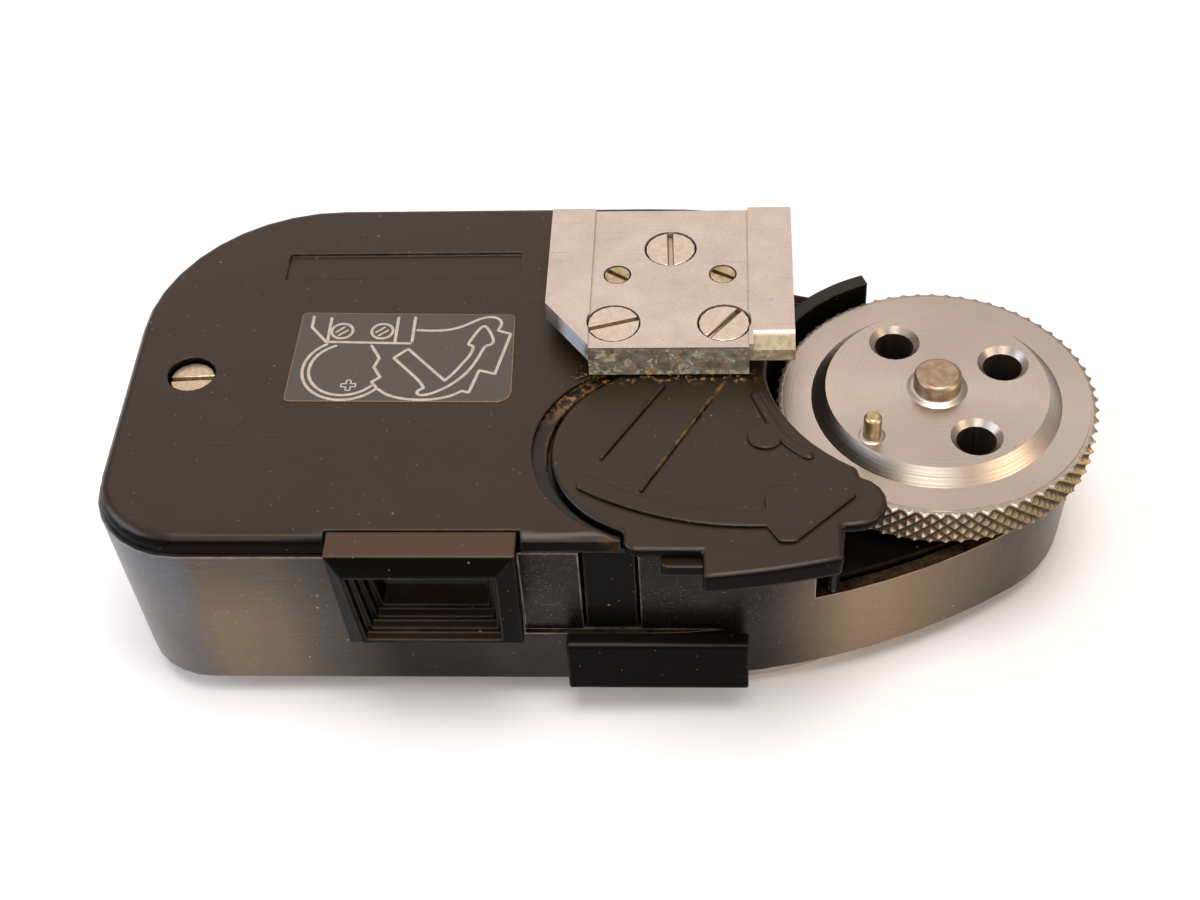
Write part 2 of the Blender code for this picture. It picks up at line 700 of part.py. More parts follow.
def make_backing_plate(root, brass):
    """The plate inside the body that the foot's large screws pull against."""
    top = SPIGOT_BOTTOM - SEAT_GAP
    half = BACKING_WIDTH / 2
    plate = finish(block(-half, half, BACKING_FRONT_Y, BACKING_REAR_Y, top - BACKING_THICKNESS, top),
                   "foot_backing_plate", brass, root)
    for place in large_screw_places():
        cut(plate, rod(place, LARGE_SHANK_RADIUS + RUNNING_GAP, top - BACKING_THICKNESS - OVERRUN,
                       top + OVERRUN))
    cut(plate, rod(CELL_AXIS, CELL_RADIUS + CELL_CLEARANCE + CUP_WALL + SEAT_GAP,
                   top - BACKING_THICKNESS - OVERRUN, top + OVERRUN, FINE))


def post_outline():
    """The post that closes the skirt in the housing's gap: its front follows the flank."""
    left = HIGH_FRONT_X + POST_SPACE
    right = WELL_FRONT_X - BOND
    outer = PLATE_INSET + POST_INSET
    inner = outer + POST_DEPTH
    return [(left, flank_at(left, inner)),
            (left, flank_at(left, outer + POST_CHAMFER)),
            (left + POST_CHAMFER, flank_at(left + POST_CHAMFER, outer)),
            (right - POST_CHAMFER, flank_at(right - POST_CHAMFER, outer)),
            (right, flank_at(right, outer + POST_CHAMFER)),
            (right, flank_at(right, inner))]


def make_base_plate(root, plastic):
    """The moulded base: a lid with a rounded edge, a spigot, the cover's recess and a skirt."""
    sections = [at_level(body_outline(PLATE_INSET), PLATE_SEAT)]
    for step in range(EDGE_STEPS + 1):
        turn = radians(90 * step / EDGE_STEPS)
        outline = body_outline(PLATE_INSET + PLATE_EDGE * (1 - cos(turn)))
        sections.append(at_level(outline, PLATE_TOP - PLATE_EDGE * (1 - sin(turn))))
    plate = finish(loft(sections), "base_plate", plastic, root)
    join(plate, prism(body_outline(HOUSING_WALL + RUNNING_GAP), SPIGOT_BOTTOM, PLATE_SEAT + BOND))
    cut(plate, prism(well_region(), SPIGOT_BOTTOM - OVERRUN, PLATE_TOP + OVERRUN))
    skirt = well_edge(0) + well_edge(SKIRT_WALL)[::-1]
    join(plate, prism(skirt, SKIRT_BOTTOM, PLATE_SEAT - SPIGOT_DEPTH / 2))
    join(plate, prism(post_outline(), LOW_RIM + RUNNING_GAP, PLATE_SEAT + BOND))
    guard_start = WELL_FRONT_BEARING % 360 - 60
    guard_top = PLATE_TOP - GUARD_DROP
    guard = (arc(WHEEL_AXIS, WELL_RADIUS, guard_start, GUARD_END_BEARING, 16)
             + arc(WHEEL_AXIS, WELL_RADIUS + SKIRT_WALL, GUARD_END_BEARING, guard_start, 16))
    join(plate, prism(guard, SKIRT_BOTTOM + BOND, guard_top))
    tongue_face = FRONT_Y + TONGUE_STEP
    join(plate, block(SLOT_LEFT_X + RUNNING_GAP, SLOT_LEFT_X + SLOT_WIDTH - RUNNING_GAP, tongue_face,
                      tongue_face + TONGUE_THICKNESS, RIM - SLOT_HEIGHT + RUNNING_GAP, PLATE_SEAT + BOND))
    bore = CELL_RADIUS + CELL_CLEARANCE
    join(plate, rod(CELL_AXIS, bore + CUP_WALL, CONTACT_BOTTOM - SEAT_GAP - CUP_FLOOR, PLATE_SEAT, FINE))
    cut(plate, prism(cover_outline(COVER_CLEARANCE), RECESS_FLOOR, PLATE_TOP + OVERRUN))
    reach = COVER_ARC_RADIUS + COVER_EYE_RADIUS
    sweep = [PIVOT] + arc(PIVOT, reach, SWEEP_FIRST_BEARING, SWEEP_LAST_BEARING, 10)
    cut(plate, prism(sweep, RECESS_FLOOR, PLATE_TOP + OVERRUN))
    cut(plate, rod(LEDGE, LEDGE_RADIUS, PLATE_TOP - LEDGE_DEPTH, PLATE_TOP + OVERRUN, FINE))
    cut(plate, rod(CELL_AXIS, bore, CONTACT_BOTTOM - SEAT_GAP, RECESS_FLOOR + OVERRUN, FINE))
    cut(plate, block(HOOD_LEFT_X - RUNNING_GAP, HOOD_RIGHT_X + RUNNING_GAP, FRONT_Y - OVERRUN,
                     FRONT_Y + HOOD_TONGUE + RUNNING_GAP, SPIGOT_BOTTOM - OVERRUN, PLATE_TOP + OVERRUN))
    left, right, _, high = hood_tube()
    behind = FRONT_Y + HOOD_TUBE_DEPTH + WINDOW_THICKNESS + HOLDER_DEPTH + OVERRUN
    cut(plate, block(left - HOLDER_MARGIN - RUNNING_GAP, right + HOLDER_MARGIN + RUNNING_GAP, FRONT_Y,
                     behind, SPIGOT_BOTTOM - OVERRUN, high + RUNNING_GAP))
    half = NAME_PANEL_WIDTH / 2
    cut(plate, block(NAME_PANEL_X - half, NAME_PANEL_X + half, NAME_PANEL_Y - NAME_PANEL_LENGTH / 2,
                     NAME_PANEL_Y + NAME_PANEL_LENGTH / 2, PLATE_TOP - NAME_PANEL_DEPTH,
                     PLATE_TOP + OVERRUN))
    seat = PLATE_TOP - PLATE_SCREW_SINK - PLATE_SCREW_HEAD_HEIGHT - SEAT_GAP
    cut(plate, rod(PLATE_SCREW, PLATE_SCREW_HEAD_RADIUS + RUNNING_GAP / 2, seat, PLATE_TOP + OVERRUN,
                   MEDIUM))
    cut(plate, rod(PLATE_SCREW, PLATE_SCREW_SHANK_RADIUS + RUNNING_GAP, SPIGOT_BOTTOM - OVERRUN,
                   seat + OVERRUN, 12))
    for place in large_screw_places():
        cut(plate, rod(place, LARGE_SHANK_RADIUS + RUNNING_GAP, SPIGOT_BOTTOM - OVERRUN,
                       PLATE_TOP + OVERRUN))
    return plate


def make_housing(root, metal):
    """The metal housing: a drafted tub, cut low round the wheel, with its windows and slots."""
    draft = HOUSING_DRAFT - HOUSING_ROUNDING * DRAFT_RATE
    sections = (at_level(body_outline(HOUSING_DRAFT + HOUSING_ROUNDING), BODY_TOP_FACE),
                at_level(body_outline(draft), BODY_TOP_FACE + HOUSING_ROUNDING),
                at_level(body_outline(0), RIM))
    housing = finish(loft(sections), "housing", metal, root)
    hollow_bottom = body_outline(HOUSING_WALL + draft_at(CEILING))
    above = RIM + OVERRUN
    cut(housing, loft((at_level(hollow_bottom, CEILING),
                       at_level(body_outline(HOUSING_WALL + draft_at(above)), above))))
    far_x = WHEEL_X + WHEEL_RADIUS
    cut(housing, block(HIGH_FRONT_X, far_x, FRONT_Y - OVERRUN, BODY_AXIS_Y, LOW_RIM, above))
    cut(housing, block(HIGH_REAR_X, far_x, BODY_AXIS_Y - OVERRUN, REAR_Y + OVERRUN, LOW_RIM, above))
    pocket = []
    for level in (RIM - POCKET_HEIGHT, above):
        pocket_y = FRONT_Y + draft_at(level) + POCKET_DEPTH
        pocket.append(at_level(rectangle(POCKET_LEFT_X, POCKET_RIGHT_X, FRONT_Y - OVERRUN, pocket_y), level))
    cut(housing, loft(pocket))
    inside_y = FRONT_Y + HOUSING_WALL + HOUSING_DRAFT + OVERRUN
    cut(housing, block(SLOT_LEFT_X, SLOT_LEFT_X + SLOT_WIDTH, FRONT_Y - OVERRUN, inside_y, RIM - SLOT_HEIGHT,
                       above))
    tube_left, tube_right, tube_bottom, tube_top = hood_tube()
    cut(housing, block(tube_left - RUNNING_GAP, tube_right + RUNNING_GAP, FRONT_Y - OVERRUN, inside_y,
                       tube_bottom - RUNNING_GAP, tube_top + RUNNING_GAP))
    stem_level, slide_middle = slide_stem()
    half = STEM_WIDTH / 2 + RUNNING_GAP
    high = STEM_HEIGHT / 2 + RUNNING_GAP
    cut(housing, block(slide_middle - half - SLIDE_TRAVEL, slide_middle + half, FRONT_Y - OVERRUN, inside_y,
                       stem_level - high, stem_level + high))
    rear_inside = REAR_Y - HOUSING_WALL - HOUSING_DRAFT - OVERRUN
    switch_half = SWITCH_STEM_WIDTH / 2 + RUNNING_GAP
    switch_high = SWITCH_STEM_HEIGHT / 2 + RUNNING_GAP
    switch_level = -SWITCH_DROP - SWITCH_HEIGHT / 2
    cut(housing, block(SWITCH_X - switch_half, SWITCH_X + switch_half + SWITCH_TRAVEL, rear_inside,
                       REAR_Y + OVERRUN, switch_level - switch_high, switch_level + switch_high))
    half_window = WINDOW_WIDTH / 2
    half_length = WINDOW_LENGTH / 2
    cut(housing, block(MOVEMENT_X - half_window, MOVEMENT_X + half_window, WINDOW_Y - half_length,
                       WINDOW_Y + half_length, BODY_TOP_FACE - OVERRUN, CEILING + OVERRUN))
    cut(housing, rod(DIAL_AXIS, DIAL_SHAFT_RADIUS + RUNNING_GAP, BODY_TOP_FACE - OVERRUN, CEILING + OVERRUN,
                     MEDIUM))
    post_top = SPIGOT_BOTTOM - SEAT_GAP
    join(housing, rod(PLATE_SCREW, SCREW_POST_RADIUS, CEILING - BOND, post_top, MEDIUM))
    screw_end = PLATE_TOP - PLATE_SCREW_SINK - PLATE_SCREW_LENGTH
    cut(housing, rod(PLATE_SCREW, PLATE_SCREW_SHANK_RADIUS + RUNNING_GAP, screw_end - SEAT_GAP,
                     post_top + OVERRUN, 12))
    boss_top = GEAR_BOTTOM - GEAR_HUB_HEIGHT - SEAT_GAP
    join(housing, rod(WHEEL_AXIS, SHAFT_RADIUS + BUSH_WALL, CEILING - BOND, boss_top, MEDIUM))
    cut(housing, rod(WHEEL_AXIS, SHAFT_RADIUS + RUNNING_GAP, CEILING, boss_top + OVERRUN, MEDIUM))
    return housing


def make_well_plate(root, plastic):
    """The plate under the wheel: the floor of its well, and the upper bearing of both shafts."""
    outline = body_outline(HOUSING_WALL + draft_at(WELL_PLATE_BOTTOM) + RUNNING_GAP)
    plate = finish(prism(outline, WELL_PLATE_BOTTOM, WELL_PLATE_TOP), "wheel_well_plate", plastic, root)
    cut(plate, block(BODY_LEFT_X, WELL_PLATE_LEFT_X, FRONT_Y, REAR_Y, WELL_PLATE_BOTTOM - OVERRUN,
                     WELL_PLATE_TOP + OVERRUN))
    bush = SHAFT_RADIUS + RUNNING_GAP + BUSH_WALL
    for axis, radius in ((WHEEL_AXIS, bush + RUNNING_GAP), (DIAL_AXIS, DIAL_SHAFT_RADIUS + RUNNING_GAP)):
        cut(plate, rod(axis, radius, WELL_PLATE_BOTTOM - OVERRUN, WELL_PLATE_TOP + OVERRUN, MEDIUM))


def wheel_rim():
    """The knurled rim as a grid whose peaks and valleys alternate, split along the valleys."""
    rim_top = WHEEL_RING - WHEEL_EDGE
    rim_bottom = WHEEL_BOTTOM + WHEEL_EDGE
    columns = KNURL_DIAMONDS * 2
    rows = KNURL_ROWS + 1
    valley = WHEEL_RADIUS - KNURL_DEPTH
    rings = []
    for row in range(rows + 1):
        level = rim_top + (rim_bottom - rim_top) * row / rows
        ring = []
        for column in range(columns):
            peak = (row + column) % 2 == 1 and 0 < row < rows
            radius = WHEEL_RADIUS if peak else valley
            bearing = radians(360 * column / columns)
            ring.append(Vector((WHEEL_X + radius * cos(bearing), BODY_AXIS_Y + radius * sin(bearing),
                                level)))
        rings.append(ring)
    return rings


def make_wheel(root, metal):
    """The coupling wheel: a diamond-knurled rim, a flat ring, a bevelled boss and three holes."""
    body = bmesh.new()
    rings = [[body.verts.new(point) for point in ring] for ring in wheel_rim()]
    for row, (upper, lower) in enumerate(zip(rings, rings[1:])):
        for column, corner in enumerate(upper):
            after = (column + 1) % len(upper)
            quad = (corner, upper[after], lower[after], lower[column])
            if (row + column) % 2 == 0:
                body.faces.new((quad[0], quad[1], quad[2]))
                body.faces.new((quad[0], quad[2], quad[3]))
            else:
                body.faces.new((quad[0], quad[1], quad[3]))
                body.faces.new((quad[1], quad[2], quad[3]))
    body.faces.new(rings[0])
    body.faces.new(rings[-1])
    axis = Vector((*WHEEL_AXIS, 0))
    wheel = finish(body, "coupling_wheel", metal, root, axis)
    rim_face = WHEEL_RADIUS - KNURL_DEPTH - WHEEL_EDGE
    face = [(0, WHEEL_RING - BOND - WHEEL_EDGE), (rim_face + WHEEL_EDGE, WHEEL_RING - BOND - WHEEL_EDGE),
            (rim_face + WHEEL_EDGE, WHEEL_RING - WHEEL_EDGE), (rim_face, WHEEL_RING),
            (WHEEL_BEVEL_RADIUS, WHEEL_RING), (WHEEL_BOSS_RADIUS, WHEEL_BOSS), (0, WHEEL_BOSS)]
    join(wheel, turned(face, WHEEL_AXIS, FINE))
    sunk = WHEEL_HOLE_SINK_RADIUS - WHEEL_HOLE_RADIUS
    for bearing in WHEEL_HOLE_BEARINGS:
        place = (WHEEL_X + WHEEL_HOLE_CIRCLE * cos(radians(bearing)),
                 BODY_AXIS_Y + WHEEL_HOLE_CIRCLE * sin(radians(bearing)))
        bore = [(0, WHEEL_BOTTOM - OVERRUN), (WHEEL_HOLE_RADIUS, WHEEL_BOTTOM - OVERRUN),
                (WHEEL_HOLE_RADIUS, WHEEL_BOSS - sunk), (WHEEL_HOLE_SINK_RADIUS, WHEEL_BOSS),
                (WHEEL_HOLE_SINK_RADIUS, WHEEL_BOSS + OVERRUN), (0, WHEEL_BOSS + OVERRUN)]
        cut(wheel, turned(bore, place, 20))
    cut(wheel, rod(WHEEL_AXIS, SHAFT_RADIUS + SEAT_GAP, WHEEL_BOTTOM - OVERRUN, WHEEL_BOSS + OVERRUN,
                   MEDIUM))
    cut(wheel, rod(pin_place(), PIN_RADIUS + SEAT_GAP, WHEEL_BOSS - PIN_SEAT_DEPTH - SEAT_GAP,
                   WHEEL_BOSS + OVERRUN, COARSE))
    return wheel


def pin_place():
    """Where the coupling pin stands on the wheel."""
    bearing = radians(PIN_BEARING)
    return WHEEL_X + PIN_CIRCLE * cos(bearing), BODY_AXIS_Y + PIN_CIRCLE * sin(bearing)


def make_wheel_parts(root, steel, brass):
    """The shaft, the coupling pin, the brass bush and the gear under the well plate."""
    axis = Vector((*WHEEL_AXIS, 0))
    shaft_end = CEILING + SEAT_GAP
    profile = [(0, shaft_end), (SHAFT_RADIUS, shaft_end), (SHAFT_RADIUS, SHAFT_TOP - SHAFT_EDGE),
               (SHAFT_RADIUS - SHAFT_EDGE, SHAFT_TOP), (0, SHAFT_TOP)]
    finish(turned(profile, WHEEL_AXIS, MEDIUM), "wheel_shaft", steel, root, axis)
    pin_top = WHEEL_BOSS + PIN_HEIGHT
    pin_end = WHEEL_BOSS - PIN_SEAT_DEPTH
    profile = [(0, pin_end), (PIN_RADIUS, pin_end), (PIN_RADIUS, pin_top - SHAFT_EDGE),
               (PIN_RADIUS - SHAFT_EDGE, pin_top), (0, pin_top)]
    finish(turned(profile, pin_place(), COARSE), "coupling_pin", brass, root, axis)
    inner = SHAFT_RADIUS + RUNNING_GAP
    outer = inner + BUSH_WALL
    seat = WELL_PLATE_TOP + SEAT_GAP
    profile = [(inner, seat + BUSH_FLANGE_HEIGHT - BUSH_LENGTH),
               (outer, seat + BUSH_FLANGE_HEIGHT - BUSH_LENGTH),
               (outer, seat), (outer + BUSH_FLANGE, seat), (outer + BUSH_FLANGE, seat + BUSH_FLANGE_HEIGHT),
               (inner, seat + BUSH_FLANGE_HEIGHT)]
    finish(turned(profile, WHEEL_AXIS, MEDIUM), "shaft_bush", brass, root)


def gear_outline(axis, start):
    """A gear in plan: straight-flanked teeth between a root and a tip circle."""
    points = []
    pitch = 360 / GEAR_TEETH
    root_radius = GEAR_PITCH_RADIUS - GEAR_DEDENDUM
    tip_radius = GEAR_PITCH_RADIUS + GEAR_ADDENDUM
    for tooth in range(GEAR_TEETH):
        middle = start + tooth * pitch
        corners = ((-TOOTH_ROOT_SHARE / 2, root_radius), (-TOOTH_TIP_SHARE / 2, tip_radius),
                   (TOOTH_TIP_SHARE / 2, tip_radius), (TOOTH_ROOT_SHARE / 2, root_radius))
        for turn_share, radius in corners:
            bearing = radians(middle + turn_share * pitch)
            points.append((axis[0] + radius * cos(bearing), axis[1] + radius * sin(bearing)))
    return points


def make_gears(root, brass):
    """A gear on each shaft, meshing half way between them, so that they turn opposite ways."""
    pitch = 360 / GEAR_TEETH
    for name, axis, start, shaft in (("wheel_gear", WHEEL_AXIS, 180, SHAFT_RADIUS),
                                     ("dial_gear", DIAL_AXIS, pitch / 2, DIAL_SHAFT_RADIUS)):
        gear = finish(prism(gear_outline(axis, start), GEAR_BOTTOM, GEAR_TOP), name, brass, root,
                      Vector((*axis, 0)))
        join(gear, rod(axis, GEAR_HUB_RADIUS, GEAR_BOTTOM - GEAR_HUB_HEIGHT, GEAR_TOP - BOND, MEDIUM))
        cut(gear, rod(axis, shaft + SEAT_GAP, GEAR_BOTTOM - GEAR_HUB_HEIGHT - OVERRUN, GEAR_TOP + OVERRUN,
                      MEDIUM))


def make_dial(root, metal, plastic, steel):
    """The calculator dial on the meter's top, its shaft and the film speed disc inside its rim."""
    axis = Vector((*DIAL_AXIS, 0))
    hub = DIAL_SHAFT_RADIUS + SEAT_GAP
    web = DIAL_TOP - DIAL_WEB
    rim = DISC_RADIUS + RUNNING_GAP
    profile = [(hub, DIAL_TOP), (hub, web), (rim, web), (rim, DIAL_FACE),
               (DIAL_RADIUS - DIAL_RIM_EDGE, DIAL_FACE),
               (DIAL_RADIUS, DIAL_FACE + DIAL_RIM_EDGE), (DIAL_RADIUS, DIAL_TOP - DIAL_RIM_EDGE),
               (DIAL_RADIUS - DIAL_RIM_EDGE, DIAL_TOP)]
    finish(turned(profile, DIAL_AXIS, FINE), "calculator_dial", metal, root, axis)
    disc_face = DIAL_FACE + DISC_SINK
    disc_top = web - RUNNING_GAP
    finish(turned([(hub, disc_top), (hub, disc_face), (DISC_RADIUS, disc_face), (DISC_RADIUS, disc_top)],
                  DIAL_AXIS, FINE), "film_speed_disc", plastic, root, axis)
    finish(rod(DIAL_AXIS, DIAL_SHAFT_RADIUS, disc_face, WELL_PLATE_TOP - SEAT_GAP, MEDIUM), "dial_shaft",
           steel, root, axis)


def make_battery(root, steel, brass):
    """The button cell in the moulding's compartment and the contact under it."""
    waist = CELL_BOTTOM + CELL_SHOULDER
    narrow = CELL_RADIUS - CELL_SHOULDER_INSET
    finish(turned([(0, CELL_BOTTOM), (narrow, CELL_BOTTOM), (narrow, waist), (CELL_RADIUS, waist),
                   (CELL_RADIUS, RECESS_FLOOR), (0, RECESS_FLOOR)], CELL_AXIS, 40), "battery_cell",
                   steel, root)
    finish(rod(CELL_AXIS, CONTACT_RADIUS, CONTACT_BOTTOM, CONTACT_BOTTOM + CONTACT_THICKNESS, MEDIUM),
           "battery_contact", brass, root)


def arrow_outline():
    """The raised arrow on the cover: a curved band with a three-cornered head."""
    centre = (ARROW_CENTRE_X, ARROW_CENTRE_Y)
    inner = ARROW_RADIUS - ARROW_WIDTH
    start = front_bearing(ARROW_TAIL_X - ARROW_CENTRE_X, ARROW_RADIUS)
    tail = start - ARROW_TAIL_TURN
    end = front_bearing(ARROW_HEAD_X - ARROW_CENTRE_X, ARROW_RADIUS)
    barb = ARROW_CENTRE_Y - ARROW_RADIUS
    rear = ARROW_TIP_Y + ARROW_WIDTH * 0.65
    return (arc(centre, ARROW_RADIUS, start, end, 12)
            + [(ARROW_HEAD_X + ARROW_WIDTH * 0.6, barb - ARROW_WIDTH),
               (ARROW_HEAD_X + ARROW_WIDTH * 1.35, barb - ARROW_WIDTH), (ARROW_TIP_X, ARROW_TIP_Y),
               (ARROW_TIP_X - ARROW_WIDTH / 3, rear), (ARROW_HEAD_X + ARROW_WIDTH / 5, rear),
               (ARROW_HEAD_X - ARROW_WIDTH / 10, ARROW_TIP_Y - ARROW_WIDTH / 5)]
            + arc(centre, inner, end, start, 12)
            + [arc(centre, inner + ARROW_WIDTH / 4, tail, tail, 1)[0],
               arc(centre, ARROW_RADIUS - ARROW_WIDTH / 4, tail, tail, 1)[0]])


def make_cover(root, plastic, brass):
    """The swinging battery cover with its finger tab and raised arrow, and the bush it turns on."""
    axis = Vector((*PIVOT, 0))
    cover = finish(prism(cover_outline(0), COVER_UNDERSIDE, PLATE_TOP), "battery_cover", plastic, root, axis)
    centre_x, drop, _ = flank_layout()
    flank_centre = (centre_x, BODY_AXIS_Y + drop)
    outer = FLANK_RADIUS + TAB_REACH - TAB_LIP_INSET
    left = front_bearing(TAB_LEFT_X + TAB_LIP_INSET * 2 - centre_x, outer)
    right = front_bearing(TAB_RIGHT_X - TAB_LIP_INSET * 2 - centre_x, outer)
    lip = (arc(flank_centre, outer, left, right, 6)
           + arc(flank_centre, outer - TAB_LIP_WALL, right, left, 6))
    join(cover, prism(lip, PLATE_TOP - TAB_LIP_HEIGHT, COVER_UNDERSIDE + BOND))
    step_top = PLATE_TOP - STEP_DROP
    step_bottom = step_top - STEP_HEIGHT
    step_front = FRONT_Y - STEP_REACH
    step_rear = FRONT_Y - SEAT_GAP
    step_back = (step_front + step_rear) / 2
    step = [(step_front, step_bottom), (step_rear, step_bottom), (step_rear, COVER_UNDERSIDE + BOND),
            (step_back, COVER_UNDERSIDE + BOND), (step_back, step_top), (step_front, step_top)]
    join(cover, loft([[Vector((x, y, level)) for y, level in step]
                      for x in (STEP_LEFT_X, TAB_LEFT_X + TAB_CORNER)]))
    join(cover, prism(arrow_outline(), PLATE_TOP - BOND, PLATE_TOP + RELIEF_HEIGHT))
    corners = ((BAR_LEFT_REAR_X, BAR_LEFT_REAR_SHARE), (BAR_LEFT_FRONT_X, BAR_LEFT_FRONT_SHARE),
               (BAR_RIGHT_FRONT_X, BAR_RIGHT_FRONT_SHARE), (BAR_RIGHT_REAR_X, BAR_RIGHT_REAR_SHARE))
    bar = [(x, FRONT_Y + COVER_REACH * share) for x, share in corners]
    join(cover, prism(bar, PLATE_TOP - BOND, PLATE_TOP + RELIEF_HEIGHT / 2))
    join(cover, rod(DIMPLE, DIMPLE_RADIUS, PLATE_TOP - BOND, PLATE_TOP + RELIEF_HEIGHT, COARSE))
    cut(cover, rod(PIVOT, PIVOT_BUSH_RADIUS + RUNNING_GAP, COVER_UNDERSIDE - OVERRUN,
                   PLATE_TOP + OVERRUN, MEDIUM))
    finish(tube(PIVOT, LARGE_SHANK_RADIUS + RUNNING_GAP, PIVOT_BUSH_RADIUS, RECESS_FLOOR + SEAT_GAP,
                PLATE_TOP, MEDIUM), "cover_pivot_bush", brass, root)


def hood_tube():
    """Left, right, bottom and top of the part of the hood that passes through the housing."""
    inset = HOOD_FACE_INSET_X + HOOD_FRAME - HOOD_TUBE_WALL + HOOD_STEP_INSET * (HOOD_STEPS - 1)
    left = HOOD_LEFT_X + inset
    right = HOOD_RIGHT_X - inset
    bottom = -HOOD_BOTTOM_DROP + HOOD_FACE_INSET_BOTTOM + HOOD_FRAME - HOOD_TUBE_WALL
    top = PLATE_TOP + HOOD_RISE - HOOD_FACE_INSET_TOP - HOOD_FRAME + HOOD_TUBE_WALL
    top = min(top, SPIGOT_BOTTOM + SPIGOT_DEPTH - SEAT_GAP)
    return left, right, bottom + HOOD_STEP_INSET, top - HOOD_STEP_INSET


def across(x_low, x_high, z_low, z_high, y):
    """The hood's section at one depth: upright on the right, drawn in towards the bottom on the left."""
    return [Vector((x_low + HOOD_TAPER, y, z_low)), Vector((x_high, y, z_low)), Vector((x_high, y, z_high)),
            Vector((x_low, y, z_high))]


def make_hood(root, plastic, glass, ceramic, fibre):
    """The cell's hood with its stepped light trap, then the window, the cell and its holder."""
    top = PLATE_TOP + HOOD_RISE
    bottom = -HOOD_BOTTOM_DROP
    wall_face = FRONT_Y - RUNNING_GAP
    front = FRONT_Y - HOOD_REACH
    shoulder = front + HOOD_SHOULDER
    face = (HOOD_LEFT_X + HOOD_FACE_INSET_X, HOOD_RIGHT_X - HOOD_FACE_INSET_X,
            bottom + HOOD_FACE_INSET_BOTTOM, top - HOOD_FACE_INSET_TOP)
    hood = finish(loft((across(HOOD_LEFT_X, HOOD_RIGHT_X, bottom, top, wall_face),
                        across(HOOD_LEFT_X, HOOD_RIGHT_X, bottom, top, shoulder),
                        across(*face, front))), "cell_hood", plastic, root)
    tongue_bottom = RIM + SEAT_GAP
    join(hood, block(HOOD_LEFT_X, HOOD_RIGHT_X, wall_face - BOND, FRONT_Y + HOOD_TONGUE, tongue_bottom, top))
    left, right, low, high = hood_tube()
    tube_end = FRONT_Y + HOOD_TUBE_DEPTH
    join(hood, block(left, right, wall_face - BOND, tube_end, low, high))
    opening = (face[0] + HOOD_FRAME, face[1] - HOOD_FRAME, face[2] + HOOD_FRAME, face[3] - HOOD_FRAME)
    start = front - OVERRUN
    for step in range(HOOD_STEPS):
        inset = HOOD_STEP_INSET * step
        last = step == HOOD_STEPS - 1
        end = tube_end + OVERRUN if last else front + HOOD_STEP_DEPTH * (step + 1)
        hollow = (opening[0] + inset, opening[1] - inset, opening[2] + inset, opening[3] - inset)
        cut(hood, loft((across(*hollow, start), across(*hollow, end))))
    window_front = tube_end + SEAT_GAP
    window_rear = window_front + WINDOW_THICKNESS
    finish(block(left, right, window_front, window_rear, low, high), "cell_window", glass, root)
    middle_x = (left + right) / 2
    middle_z = (low + high) / 2
    holder_front = window_rear + SEAT_GAP
    sensor_front = holder_front + RUNNING_GAP
    finish(level_rod(middle_x, middle_z, PHOTOCELL_RADIUS, sensor_front, sensor_front + PHOTOCELL_THICKNESS),
           "photocell", ceramic, root)
    holder = finish(block(left - HOLDER_MARGIN, right + HOLDER_MARGIN, holder_front,
                          holder_front + HOLDER_DEPTH, low, high), "photocell_holder", fibre, root)
    cut(holder, level_rod(middle_x, middle_z, PHOTOCELL_RADIUS + RUNNING_GAP, holder_front - OVERRUN,
                          sensor_front + PHOTOCELL_THICKNESS + RUNNING_GAP))


def slide_stem():
    """Level of the measuring slide's stem and the middle of the slide."""
    return -SLIDE_TOP_DROP - SLIDE_HEIGHT / 2, (SLIDE_LEFT_X + SLIDE_RIGHT_X) / 2


def make_slide(root, plastic):
    """The measuring slide: a finger bar outside, a stem through the wall and a keeper inside."""
    top = -SLIDE_TOP_DROP
    bottom = top - SLIDE_HEIGHT
    back_top = FRONT_Y + draft_at(top) - RUNNING_GAP
    back_bottom = FRONT_Y + draft_at(bottom) - RUNNING_GAP
    section = [(SLIDE_FRONT_Y, bottom + SLIDE_EDGE), (SLIDE_FRONT_Y + SLIDE_EDGE, bottom),
               (back_bottom, bottom),
               (back_top, top), (SLIDE_FRONT_Y + SLIDE_EDGE, top), (SLIDE_FRONT_Y, top - SLIDE_EDGE)]
    slide = finish(loft([[Vector((x, y, level)) for y, level in section]
                         for x in (SLIDE_LEFT_X, SLIDE_RIGHT_X)]), "measuring_slide", plastic, root)
    level, middle = slide_stem()
    keeper_front = FRONT_Y + HOUSING_WALL + draft_at(level - STEM_HEIGHT) + RUNNING_GAP
    keeper_rear = keeper_front + KEEPER_THICKNESS
    join(slide, block(middle - STEM_WIDTH / 2, middle + STEM_WIDTH / 2, back_top - BOND * 2,
                      keeper_rear - BOND / 2, level - STEM_HEIGHT / 2, level + STEM_HEIGHT / 2))
    join(slide, block(middle - STEM_WIDTH / 2 - KEEPER_MARGIN, middle + STEM_WIDTH / 2 + KEEPER_MARGIN,
                      keeper_front, keeper_rear, level - STEM_HEIGHT / 2 - KEEPER_MARGIN / 2,
                      level + STEM_HEIGHT / 2 + KEEPER_MARGIN / 2))


